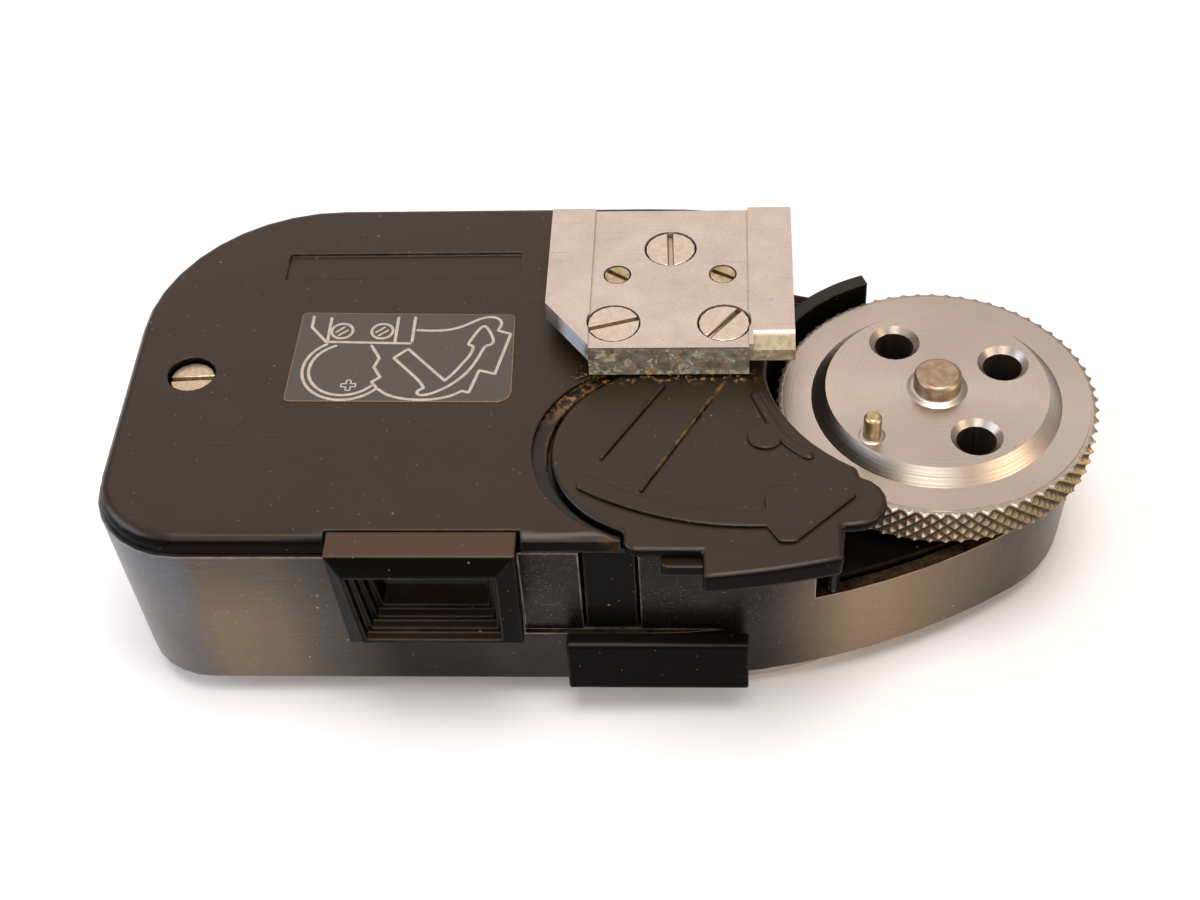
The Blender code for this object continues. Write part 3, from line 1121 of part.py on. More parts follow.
def make_range_switch(root, plastic):
    """The range switch: a ribbed button on the rear wall, its stem and its keeper."""
    top = -SWITCH_DROP
    bottom = top - SWITCH_HEIGHT
    middle = (top + bottom) / 2
    back_top = REAR_Y - draft_at(top) + RUNNING_GAP
    back_bottom = REAR_Y - draft_at(bottom) + RUNNING_GAP
    half = SWITCH_WIDTH / 2
    outer = REAR_Y + SWITCH_REACH
    section = [(outer, bottom), (outer, top), (back_top, top), (back_bottom, bottom)]
    switch = finish(loft([[Vector((x, y, level)) for y, level in section]
                          for x in (SWITCH_X - half, SWITCH_X + half)]), "range_switch", plastic, root)
    keeper_rear = REAR_Y - HOUSING_WALL - draft_at(middle - SWITCH_STEM_HEIGHT) - RUNNING_GAP
    keeper_front = keeper_rear - KEEPER_THICKNESS
    stem_half = SWITCH_STEM_WIDTH / 2
    stem_high = SWITCH_STEM_HEIGHT / 2
    join(switch, block(SWITCH_X - stem_half, SWITCH_X + stem_half, keeper_front + BOND / 2,
                       back_top + BOND * 2, middle - stem_high, middle + stem_high))
    margin = KEEPER_MARGIN
    join(switch, block(SWITCH_X - stem_half - margin, SWITCH_X + stem_half + margin, keeper_front,
                       keeper_rear, middle - stem_high - margin / 2, middle + stem_high + margin / 2))
    pitch = SWITCH_WIDTH / (SWITCH_RIBS + 1)
    for rib in range(SWITCH_RIBS):
        place = SWITCH_X - half + pitch * (rib + 1)
        cut(switch, block(place - pitch / 5, place + pitch / 5, outer - BOND, outer + OVERRUN,
                          bottom - OVERRUN, top + OVERRUN))


def make_movement(root, steel, brass, copper, plastic, glass, card):
    """The moving-coil movement, the pointer over its scale plate and the window over both."""
    top = -MAGNET_DROP
    bottom = top - MAGNET_HEIGHT
    finish(rod(MOVEMENT_AXIS, CORE_RADIUS, bottom, top, MEDIUM), "magnet_core", steel, root)
    outer = YOKE_INNER_RADIUS + YOKE_WALL
    finish(tube(MOVEMENT_AXIS, YOKE_INNER_RADIUS, outer, bottom, top, 32), "magnet_yoke", steel, root)
    bridge_top = top + COIL_CLEARANCE * 2 + COIL_WIRE + SEAT_GAP + BRIDGE_THICKNESS
    leg_inner = YOKE_INNER_RADIUS + YOKE_WALL / 2
    half = BRIDGE_WIDTH / 2
    upper_low = bridge_top - BRIDGE_THICKNESS
    upper = finish(block(MOVEMENT_X - outer, MOVEMENT_X + outer, MOVEMENT_Y - half, MOVEMENT_Y + half,
                         upper_low, bridge_top), "upper_bridge", brass, root)
    for side in (-1, 1):
        edges = sorted((MOVEMENT_X + side * leg_inner, MOVEMENT_X + side * outer))
        join(upper, block(*edges, MOVEMENT_Y - half, MOVEMENT_Y + half, top + SEAT_GAP, upper_low + BOND))
    cut(upper, rod(MOVEMENT_AXIS, STAFF_RADIUS + RUNNING_GAP, upper_low - OVERRUN, bridge_top + OVERRUN))
    lower_top = bottom - COIL_CLEARANCE * 2 - COIL_WIRE - SEAT_GAP
    lower = finish(block(MOVEMENT_X - outer, MOVEMENT_X + outer, MOVEMENT_Y - half, MOVEMENT_Y + half,
                         lower_top - BRIDGE_THICKNESS, lower_top), "lower_bridge", brass, root)
    for side in (-1, 1):
        edges = sorted((MOVEMENT_X + side * leg_inner, MOVEMENT_X + side * outer))
        join(lower, block(*edges, MOVEMENT_Y - half, MOVEMENT_Y + half, lower_top - BOND, bottom - SEAT_GAP))
    cut(lower, rod(MOVEMENT_AXIS, STAFF_RADIUS + RUNNING_GAP, lower_top - BRIDGE_THICKNESS - OVERRUN,
                   lower_top + OVERRUN))
    axis = Vector((*MOVEMENT_AXIS, 0))
    coil_top = top + COIL_CLEARANCE + COIL_WIRE
    coil_bottom = bottom - COIL_CLEARANCE - COIL_WIRE
    reach = COIL_HALF_WIDTH + COIL_WIRE / 2
    coil = finish(block(MOVEMENT_X - reach, MOVEMENT_X + reach, MOVEMENT_Y - COIL_WIRE,
                        MOVEMENT_Y + COIL_WIRE, coil_bottom, coil_top), "moving_coil", copper, root, axis)
    inside = COIL_HALF_WIDTH - COIL_WIRE / 2
    cut(coil, block(MOVEMENT_X - inside, MOVEMENT_X + inside, MOVEMENT_Y - OVERRUN, MOVEMENT_Y + OVERRUN,
                    coil_bottom + COIL_WIRE, coil_top - COIL_WIRE))
    plate_top = lower_top - BRIDGE_THICKNESS - SEAT_GAP
    plate_bottom = plate_top - SCALE_PLATE_THICKNESS
    pointer_top = plate_bottom - RUNNING_GAP
    pointer_bottom = pointer_top - POINTER_THICKNESS
    staff_end = pointer_top + SEAT_GAP / 2
    join(coil, rod(MOVEMENT_AXIS, STAFF_RADIUS, coil_top - BOND, bridge_top, 12))
    join(coil, rod(MOVEMENT_AXIS, STAFF_RADIUS, staff_end, coil_bottom + BOND, 12))
    window_half = WINDOW_WIDTH / 2 + HOUSING_WALL
    window_front = WINDOW_Y - WINDOW_LENGTH / 2 - HOUSING_WALL
    plate_rear = MOVEMENT_Y + half
    plate = finish(block(MOVEMENT_X - window_half, MOVEMENT_X + window_half, window_front, plate_rear,
                         plate_bottom, plate_top), "scale_plate", card, root)
    cut(plate, rod(MOVEMENT_AXIS, STAFF_RADIUS + RUNNING_GAP, plate_bottom - OVERRUN, plate_top + OVERRUN))
    tip_y = MOVEMENT_Y - POINTER_LENGTH
    hub = POINTER_WIDTH * 2
    needle = [(MOVEMENT_X + POINTER_WIDTH / 6, tip_y), (MOVEMENT_X + POINTER_WIDTH / 2, MOVEMENT_Y)]
    tail = arc(MOVEMENT_AXIS, hub, 10, 170, 6)
    needle += tail + [(MOVEMENT_X - POINTER_WIDTH / 2, MOVEMENT_Y), (MOVEMENT_X - POINTER_WIDTH / 6, tip_y)]
    pointer = finish(prism(needle, pointer_bottom, pointer_top), "pointer", plastic, root, axis)
    pointer.rotation_euler.z = radians(-POINTER_SWEEP / 2)
    half_glass = WINDOW_WIDTH / 2 - SEAT_GAP
    half_length = WINDOW_LENGTH / 2 - SEAT_GAP
    glass_bottom = BODY_TOP_FACE + GLASS_SINK
    finish(block(MOVEMENT_X - half_glass, MOVEMENT_X + half_glass, WINDOW_Y - half_length,
                 WINDOW_Y + half_length,
                 glass_bottom, glass_bottom + GLASS_THICKNESS), "scale_window", glass, root)


def make_board(root, fibre, ceramic):
    """The terminal board and the calibration resistors on it."""
    top = -BOARD_DROP
    half = BOARD_WIDTH / 2
    finish(block(BOARD_X - half, BOARD_X + half, BOARD_Y - BOARD_LENGTH / 2, BOARD_Y + BOARD_LENGTH / 2,
                 top - BOARD_THICKNESS, top), "terminal_board", fibre, root)
    for number in range(RESISTOR_COUNT):
        y = BOARD_Y + (number - (RESISTOR_COUNT - 1) / 2) * RESISTOR_PITCH
        level = top + RESISTOR_RADIUS + SEAT_GAP
        ends = []
        for x in (BOARD_X - RESISTOR_LENGTH / 2, BOARD_X + RESISTOR_LENGTH / 2):
            turns = [radians(360 * step / COARSE) for step in range(COARSE)]
            ends.append([Vector((x, y + RESISTOR_RADIUS * cos(turn), level + RESISTOR_RADIUS * sin(turn)))
                         for turn in turns])
        finish(loft(ends), f"resistor_{number + 1}", ceramic, root)


def stand_on_dial(root):
    """Move the meter so that its box stands on Z = 0 with its middle at X = Y = 0."""
    bpy.context.view_layer.update()
    graph = bpy.context.evaluated_depsgraph_get()
    corners = []
    for piece in bpy.data.objects:
        if piece.type == "MESH" and not piece.hide_render:
            seen = piece.evaluated_get(graph)
            mesh = seen.to_mesh()
            corners += [seen.matrix_world @ vertex.co for vertex in mesh.vertices]
            seen.to_mesh_clear()
    low = [min(corner[axis] for corner in corners) for axis in range(3)]
    high = [max(corner[axis] for corner in corners) for axis in range(3)]
    root.location = (-(low[0] + high[0]) / 2, -(low[1] + high[1]) / 2, -low[2])


def build():
    """Build the meter, piece by piece."""
    clear_scene()
    root = bpy.data.objects.new("meter_root", None)
    bpy.context.collection.objects.link(root)
    black_plastic = make_material("black_plastic", (0.030, 0.024, 0.019), 0.38, 0.0)
    black_metal = make_material("black_chromed_metal", (0.070, 0.060, 0.050), 0.35, 0.8)
    aluminium = make_material("satin_aluminium", (0.62, 0.60, 0.57), 0.38, 1.0)
    steel = make_material("worn_steel", (0.42, 0.38, 0.34), 0.35, 1.0)
    brass = make_material("brass", (0.55, 0.42, 0.22), 0.35, 1.0)
    copper = make_material("copper_wire", (0.55, 0.25, 0.12), 0.4, 1.0)
    glass = make_material("window_glass", (0.55, 0.58, 0.58), 0.08, 0.0)
    ceramic = make_material("cell_ceramic", (0.45, 0.20, 0.12), 0.5, 0.0)
    fibre = make_material("fibre_board", (0.20, 0.10, 0.05), 0.6, 0.0)
    card = make_material("scale_white", (0.75, 0.74, 0.70), 0.6, 0.0)
    make_foot(root, aluminium)
    make_screws(root, aluminium, brass)
    make_backing_plate(root, brass)
    make_base_plate(root, black_plastic)
    make_housing(root, black_metal)
    make_well_plate(root, black_plastic)
    make_wheel(root, aluminium)
    make_wheel_parts(root, steel, brass)
    make_gears(root, brass)
    make_dial(root, aluminium, black_plastic, steel)
    make_battery(root, steel, brass)
    make_cover(root, black_plastic, brass)
    make_hood(root, black_plastic, glass, ceramic, fibre)
    make_slide(root, black_plastic)
    make_range_switch(root, black_plastic)
    make_movement(root, steel, brass, copper, black_plastic, glass, card)
    make_board(root, fibre, ceramic)
    stand_on_dial(root)


build()
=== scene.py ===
"""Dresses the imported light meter: softened edges, a fine knurl, relief, a label and worn finishes."""
from math import cos, pi, radians, sin

import bmesh
import bpy
import numpy as np
from mathutils import Matrix, Vector


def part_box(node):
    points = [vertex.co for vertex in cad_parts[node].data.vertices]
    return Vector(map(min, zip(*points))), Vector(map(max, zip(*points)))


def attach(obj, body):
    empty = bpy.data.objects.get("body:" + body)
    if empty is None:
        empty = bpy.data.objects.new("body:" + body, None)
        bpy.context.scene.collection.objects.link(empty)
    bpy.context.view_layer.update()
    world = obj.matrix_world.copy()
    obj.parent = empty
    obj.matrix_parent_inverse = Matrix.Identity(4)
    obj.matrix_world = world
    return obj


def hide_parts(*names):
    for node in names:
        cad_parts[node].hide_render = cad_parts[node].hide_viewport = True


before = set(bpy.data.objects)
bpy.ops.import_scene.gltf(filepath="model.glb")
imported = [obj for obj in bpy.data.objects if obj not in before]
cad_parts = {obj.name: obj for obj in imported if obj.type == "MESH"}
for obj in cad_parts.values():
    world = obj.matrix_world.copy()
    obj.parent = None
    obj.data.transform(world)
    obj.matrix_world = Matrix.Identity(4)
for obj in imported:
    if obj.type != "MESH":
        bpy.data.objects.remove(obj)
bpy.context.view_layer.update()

bl_info = {
    "name": "Shoe-mounted light meter",
    "version": (1, 0, 0),
    "blender": (4, 5, 0),
    "location": "3D View > Sidebar > Light meter",
    "description": "Dresses a packed light meter with its finished surfaces",
    "category": "Object",
}

MM = 0.001
FOOT_LOW, FOOT_HIGH = (Vector(corner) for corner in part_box("shoe_foot"))
# Places below are in millimetres from the middle of the foot's top face.
HOME = Vector(((FOOT_LOW.x + FOOT_HIGH.x) / 2, (FOOT_LOW.y + FOOT_HIGH.y) / 2, FOOT_HIGH.z))
HOME_MM = np.array(HOME) / MM
PLATE_TOP = -3.2
COVER_UNDERSIDE = -4.1
WHEEL_CENTRE = (20.1, -5.9)
PIN_CENTRE = (14.965, -10.946)
DIAL_CENTRE = (4.2, -5.9)
LEDGE_CENTRE = (-0.9, -15.3)
LONG_BAR = ((3.19, -10.21), (-1.84, -19.65))
# Angles in degrees: edges that are rounded, and faces that are joined.
HARD_EDGE = 33
ALMOST_FLAT = 0.6


def linear(code):
    """Turn an sRGB hex colour into linear red, green, blue and alpha."""
    parts = [int(code[place:place + 2], 16) / 255 for place in (1, 3, 5)]
    return [part / 12.92 if part <= 0.04045 else ((part + 0.055) / 1.055) ** 2.4 for part in parts] + [1.0]


def per_mm(size):
    """A texture scale whose features are about this many millimetres across."""
    return 1 / (size * MM)


def at_home(x, y, z):
    """A place in metres in the model's frame."""
    return HOME + Vector((x, y, z)) * MM


# Sizes and colours that a user would change


def length_setting(name, description, default):
    """A length in metres that the panel shows."""
    return bpy.props.FloatProperty(name=name, description=description, default=default, unit="LENGTH")


def colour_setting(name, description, default):
    """An sRGB hex colour that the panel shows."""
    return bpy.props.StringProperty(name=name, description=description, default=default)


class MeterSizes(bpy.types.PropertyGroup):
    moulded_edge: length_setting("Moulded edge", "Rounding on moulded edges", 0.00016)
    cover_edge: length_setting("Cover edge", "Rounding on the battery cover's edges", 0.00034)
    metal_edge: length_setting("Metal edge", "Rounding on cut metal edges", 0.0001)
    knurl_depth: length_setting("Knurl depth", "Depth of the wheel's knurl", 0.00042)
    relief_height: length_setting("Relief height", "Height of the cover's raised lines", 0.00022)
    print_height: length_setting("Print height", "Height of the label's printed lines", 0.00002)


class MeterColours(bpy.types.PropertyGroup):
    moulding: colour_setting("Moulding", "Black phenolic moulding", "#070706")
    # The brown of upward moulded faces: partly dust, partly painted sheen.
    dust_and_sheen: colour_setting("Dust film", "Brown film of dust on upward faces", "#281d0e")
    housing: colour_setting("Housing", "Black-chromed housing", "#60584f")
    housing_wear: colour_setting("Housing wear", "Metal that shows at the housing's worn edges", "#b7ab9c")
    aluminium: colour_setting("Aluminium", "Bare satin aluminium", "#e0d7d1")
    turned: colour_setting("Turned aluminium", "Bare aluminium of the wheel and dial", "#c9c1ba")
    grime: colour_setting("Grime", "Golden-brown dirt in seams and knurls", "#755a34")
    brass: colour_setting("Brass", "Small screws and pins", "#c9bda0")
    dust: colour_setting("Dust", "Dust specks on the moulding", "#8d8072")
    print_line: colour_setting("Printed line", "Lines on the label", "#b4aea4")


# Nodes. A socket knows its own tree, so each helper adds to the tree of the socket that it is given.


def fill(node, settings):
    """Set a node's properties and sockets, and link the settings that are sockets themselves."""
    for key, value in settings.items():
        if isinstance(value, bpy.types.NodeSocket):
            node.id_data.links.new(value, node.inputs[key])
        elif isinstance(key, str) and hasattr(node, key):
            setattr(node, key, value)
        else:
            node.inputs[key].default_value = value
    return node


def add(tree, kind, settings):
    """Add a node with its settings."""
    return fill(tree.nodes.new(kind), settings)


def start_material(name, code, roughness, metallic=0.0, ior=1.5):
    """A new material, its shader and Object coordinates."""
    material = bpy.data.materials.new(name)
    material.use_nodes = True
    shader = material.node_tree.nodes["Principled BSDF"]
    fill(shader, {"Base Color": linear(code), "Roughness": roughness, "Metallic": metallic, "IOR": ior})
    return material, shader, add(material.node_tree, "ShaderNodeTexCoord", {}).outputs["Object"]


def maths(operation, *values, clamp=False):
    """The outcome of an operation on sockets and numbers."""
    tree = next(value for value in values if isinstance(value, bpy.types.NodeSocket)).id_data
    settings = {"operation": operation, "use_clamp": clamp, **dict(enumerate(values))}
    return add(tree, "ShaderNodeMath", settings).outputs[0]


def vectors(operation, first, second=(0.0, 0.0, 0.0), outcome="Vector"):
    """The outcome of an operation on a vector and a second one, which may be three numbers."""
    settings = {"operation": operation, 0: first, 1: second}
    return add(first.id_data, "ShaderNodeVectorMath", settings).outputs[outcome]


def times(first, *others):
    """Multiply factors, of which all but the first may be numbers."""
    for other in others:
        first = maths("MULTIPLY", first, other)
    return first


def either(first, *others):
    """The largest of some factors."""
    for other in others:
        first = maths("MAXIMUM", first, other)
    return first


def rest_of(factor):
    """What a factor leaves of 1."""
    return maths("SUBTRACT", 1.0, factor, clamp=True)


def ramp(factor, low, high, start=0.0, end=1.0):
    """A value that goes from start to end as the factor goes from low to high."""
    settings = {"Value": factor, "From Min": low, "From Max": high, "To Min": start, "To Max": end}
    return add(factor.id_data, "ShaderNodeMapRange", settings).outputs["Result"]


def over(under, *layers):
    """Lay colours over one another, each by its own factor. A colour is a hex code or a socket."""
    for colour, factor in layers:
        under, colour = (linear(tint) if isinstance(tint, str) else tint for tint in (under, colour))
        settings = {"data_type": "RGBA", 0: factor, 6: under, 7: colour}
        under = add(factor.id_data, "ShaderNodeMix", settings).outputs[2]
    return under


def split(vector):
    """The three numbers of a vector."""
    return list(add(vector.id_data, "ShaderNodeSeparateXYZ", {0: vector}).outputs)


def measured(where):
    """Place in millimetres from the middle of the foot's top face: across, along and up."""
    return split(vectors("MULTIPLY", vectors("SUBTRACT", where, HOME), (1 / MM, 1 / MM, 1 / MM)))


def around(where, centre):
    """Place measured from an upright axis: the vector in plan and its length, in metres."""
    flat = vectors("MULTIPLY", vectors("SUBTRACT", where, at_home(*centre, 0)), (1.0, 1.0, 0.0))
    return flat, vectors("LENGTH", flat, outcome="Value")


def beside_line(where, start, end, reach):
    """1 on the plan line through two places, and 0 from a reach in millimetres."""
    along = (Vector(end) - Vector(start)).normalized()
    across = Vector((along.y, -along.x, 0.0))
    away = maths("SUBTRACT", vectors("DOT_PRODUCT", where, across, "Value"), across.dot(at_home(*start, 0)))
    return ramp(maths("ABSOLUTE", away), reach * MM, reach * MM * 0.3)


def facing_up(where, low=0.5, high=0.95):
    """1 on faces that look up, where dust settles, and 0 on walls."""
    return ramp(split(add(where.id_data, "ShaderNodeNewGeometry", {}).outputs["Normal"])[2], low, high)


def softer_normal(tree, radius, samples):
    """The Bevel node's normal, which looks rounded to a radius in millimetres."""
    return add(tree, "ShaderNodeBevel", {"samples": samples, "Radius": radius * MM}).outputs[0]


def worn_edge(where, width, low=0.015, high=0.18):
    """How far a surface bends within a width: the Bevel normal compared with the real one."""
    hard = add(where.id_data, "ShaderNodeNewGeometry", {}).outputs["Normal"]
    alike = vectors("DOT_PRODUCT", softer_normal(where.id_data, width, 4), hard, "Value")
    return ramp(rest_of(alike), low, high)


def cavity(where, reach, low=0.35, high=0.8):
    """How closed in a surface is within a reach, 1 in a seam or slot and 0 in the open."""
    settings = {"samples": 4, "Distance": reach * MM, "only_local": False}
    return ramp(rest_of(add(where.id_data, "ShaderNodeAmbientOcclusion", settings).outputs["AO"]), low, high)


def noise(where, settings, key="Vector"):
    """The strength of a noise at a place."""
    return add(where.id_data, "ShaderNodeTexNoise", {**settings, key: where}).outputs["Fac"]


def blotches(where, size, low, high, detail=4.0):
    """Soft patches of a size in millimetres."""
    return ramp(noise(where, {"Scale": per_mm(size), "Detail": detail, "Roughness": 0.6}), low, high)


def specks(where, pitch, share, size):
    """Scattered dots: cells of a pitch, of which only a share hold a dot of a size."""
    settings = {"Scale": per_mm(pitch), "Randomness": 1.0, "Vector": where}
    cells = add(where.id_data, "ShaderNodeTexVoronoi", settings).outputs
    hue = add(where.id_data, "ShaderNodeSeparateColor", {0: cells["Color"]}).outputs[0]
    return times(ramp(cells["Distance"], size, size * 0.6), maths("LESS_THAN", hue, share))


def scratches(where, turn, length, width, low, high):
    """Fine lines at a turn in degrees: noise that is stretched along one direction."""
    scale = (per_mm(length), per_mm(width), per_mm(width))
    settings = {"Rotation": (0.0, 0.0, radians(turn)), "Scale": scale, "Vector": where}
    turned = add(where.id_data, "ShaderNodeMapping", settings).outputs[0]
    return ramp(noise(turned, {"Scale": 1.0, "Detail": 2.0, "Distortion": 0.2}), low, high)


def bump(shader, height, strength, depth, edge=None):
    """Let a pattern stand out by a depth, over edges that look rounded to a radius, both in millimetres."""
    settings = {"Strength": strength, "Distance": depth * MM, "Height": height}
    if edge is not None:
        settings["Normal"] = softer_normal(height.id_data, edge, 6)
    fill(shader, {"Normal": add(height.id_data, "ShaderNodeBump", settings).outputs[0]})


# Materials. Their x, y and z are in millimetres from the middle of the foot's top face.


def moulded_black(name, colours, dusty=1.0, gloss=0.38, dust_and_sheen_share=1.0, base=False, line=None, dust_and_sheen_code=None):
    """Black phenolic moulding: dull black walls, a brown layer of dust and painted sheen on top, rubbed edges
    and lint.

    Faces sunk below the top get less of that layer, as painted shade. The base also has painted shade on
    the sunk ledge round the cover, with dirt packed on it, and the cover has some dirt along a line. Base and
    cover have a painted shadow before and under the foot's front edge, with crumbs in it.
    """
    material, shader, where = start_material(name, colours.moulding, 0.34, 0.0, 1.5)
    x, y, z = measured(where)
    patches = blotches(where, 6.0, 0.3, 0.7)
    upward = facing_up(where)
    bent = worn_edge(where, 0.3)
    # A brown layer on upward faces: partly dust, partly painted sheen where the tops catch the light. Faces
    # lower than the plate's top get less of it, which paints shade in sunk places.
    dust_and_sheen = times(ramp(patches, 0.0, 1.0, 0.8 * dust_and_sheen_share, dust_and_sheen_share), upward,
                 ramp(z, -4.4, -3.9, 0.0 if base or line else 0.45), ramp(z, -6.5, -5.5, 0.4))
    lint = either(specks(where, 0.5, 0.16 * dusty, 0.13), specks(where, 1.5, 0.25 * dusty, 0.08))
    lines = either(scratches(where, 25, 9.0, 0.10, 0.73, 0.80), scratches(where, -50, 7.0, 0.08, 0.74, 0.81))
    dirt = times(either(lint, times(lines, 0.5)), 0.5)
    colour = over(colours.moulding, (dust_and_sheen_code or colours.dust_and_sheen, dust_and_sheen),
                  ("#5b4c3d", times(bent, blotches(where, 1.4, 0.35, 0.62), 0.45)), (colours.dust, dirt))
    if base:
        far = around(where, LEDGE_CENTRE)[1]
        ledge = times(ramp(far, 7.6 * MM, 7.9 * MM), ramp(far, 9.5 * MM, 9.3 * MM),
                      ramp(z, -3.42, -3.52), ramp(z, -4.6, -4.4), ramp(x, -0.5, -3.0))
        near_foot = times(blotches(where, 0.5, 0.46, 0.60), ramp(y, -13.0, -10.0, 0.0, 0.95))
        rims = times(either(ramp(far, 8.9 * MM, 9.15 * MM), ramp(far, 8.0 * MM, 7.8 * MM)),
                     blotches(where, 0.8, 0.40, 0.62), ramp(y, -21.0, -13.0, 0.15, 0.7))
        packed = times(ledge, either(near_foot, rims))
        # The sunk ledge is first painted near-black, as shade in the recess; the packed dirt lies over it.
        colour = over(colour, ("#0a0807", times(ledge, 0.9)), ("#86602f", packed))
    if base or line:
        # Before and under the foot's front edge, a near-black band is painted shadow of the foot; the crumbs
        # in it are dirt.
        seam = times(ramp(y, -9.4, -8.2), ramp(x, -7.6, -6.2), ramp(x, 6.6, 6.0), ramp(y, -6.5, -7.5))
        crumbs = times(seam, ramp(y, -8.9, -8.3), blotches(where, 0.40, 0.55, 0.64))
        colour = over(colour, ("#080605", times(seam, 0.9)), ("#936a36", times(crumbs, 0.85)))
    if line:
        packed = times(beside_line(where, *line, 0.20), blotches(where, 0.9, 0.45, 0.62),
                       ramp(y, -19.6, -15.0))
        colour = over(colour, ("#7d6236", times(packed, 0.6)))
    rough = maths("ADD", ramp(patches, 0.0, 1.0, 0.30, 0.38), times(dirt, 0.5), clamp=True)
    fill(shader, {
        "Base Color": colour,
        "Roughness": maths("SUBTRACT", rough, times(bent, 0.12)),
        "Specular IOR Level": either(ramp(upward, 0.0, 0.4, gloss * 0.12, gloss), times(bent, gloss)),
    })
    bump(shader, noise(where, {"Scale": per_mm(0.35), "Detail": 3.0}), 0.12, 0.05, 0.3)
    return material


def black_chrome(colours):
    """Black chrome on a metal shell: bronze towards the right end, bare edges, and painted light.

    The painted light is a brownish reflection and a bluish highlight on the left end, and painted shade
    across the middle of the front, up towards the plate and at the far right beside the wheel.
    """
    material, shader, where = start_material("black_chromed_shell", colours.housing, 0.34, 0.85)
    x, y, z = measured(where)
    patches = blotches(where, 5.0, 0.3, 0.75)
    grain = blotches(where, 0.13, 0.25, 0.75, 3.0)
    front = ramp(y, -18.0, -22.0)
    # A brownish reflection painted on the left end, stronger towards the floor.
    painted_warm_reflection = times(ramp(x, -25.0, -31.0), ramp(x, -35.0, -33.0), ramp(z, -6.0, -12.0, 0.3, 1.0))
    # A bluish highlight painted on the left corner.
    painted_blue_corner_highlight = times(ramp(x, -33.2, -35.0), ramp(z, -14.0, -6.0, 0.2, 0.7))
    # Painted shade across the middle of the front wall; it also takes shine away there.
    painted_middle_shade = times(ramp(x, -28.0, -20.0), ramp(x, 13.0, 7.0), front, ramp(patches, 0.0, 1.0, 0.8, 0.98))
    rub = either(scratches(where, 0, 6.0, 0.12, 0.62, 0.78), scratches(where, 35, 3.0, 0.07, 0.70, 0.80))
    pocket = times(ramp(x, -10.6, -10.3), ramp(x, 8.2, 7.9), ramp(z, -13.9, -13.6), front)
    crumbs = either(specks(where, 0.2, 0.35, 0.3), scratches(where, 62, 2.0, 0.06, 0.66, 0.74))
    dust = times(crumbs, pocket, blotches(where, 2.0, 0.30, 0.70))
    edge = times(worn_edge(where, 0.25), blotches(where, 1.8, 0.30, 0.55))
    dots = either(specks(where, 0.5, 0.14, 0.12), specks(where, 1.6, 0.2, 0.07))
    rim = times(facing_up(where, 0.90, 0.97), ramp(z, -11.3, -11.5))
    rim_dirt = over("#120f0d", ("#4a3a26", blotches(where, 0.7, 0.35, 0.70)))
    colour = over(
        colours.housing,
        ("#a98d6a", times(ramp(x, 6.0, 16.0), 0.7)),
        ("#806d57", times(painted_warm_reflection, 0.75)),
        ("#707a86", painted_blue_corner_highlight),
        # Darker towards the far right end beside the wheel: painted shade.
        ("#30281e", times(ramp(x, 14.0, 25.0), 0.9)),
        # Darker up towards the plate: painted shade.
        ("#1c1814", times(ramp(z, -12.0, -5.0), 0.35)),
        ("#2c2620", times(grain, 0.35)),
        ("#b09c80", times(rub, 0.2)),
        ("#0b0d10", times(painted_middle_shade, 0.93)),
        ("#988560", times(dust, 0.6)),
        (colours.housing_wear, times(edge, 0.8)),
        ("#c8b69c", times(dots, 0.45)),
        (rim_dirt, rim),
    )
    fill(shader, {
        "Base Color": colour,
        "Roughness": either(ramp(patches, 0.0, 1.0, 0.30, 0.40), times(either(dust, rim), 0.7)),
        "Specular IOR Level": ramp(painted_middle_shade, 0.0, 1.0, 0.5, 0.1),
    })
    bump(shader, grain, 0.22, 0.02, 0.15)
    return material


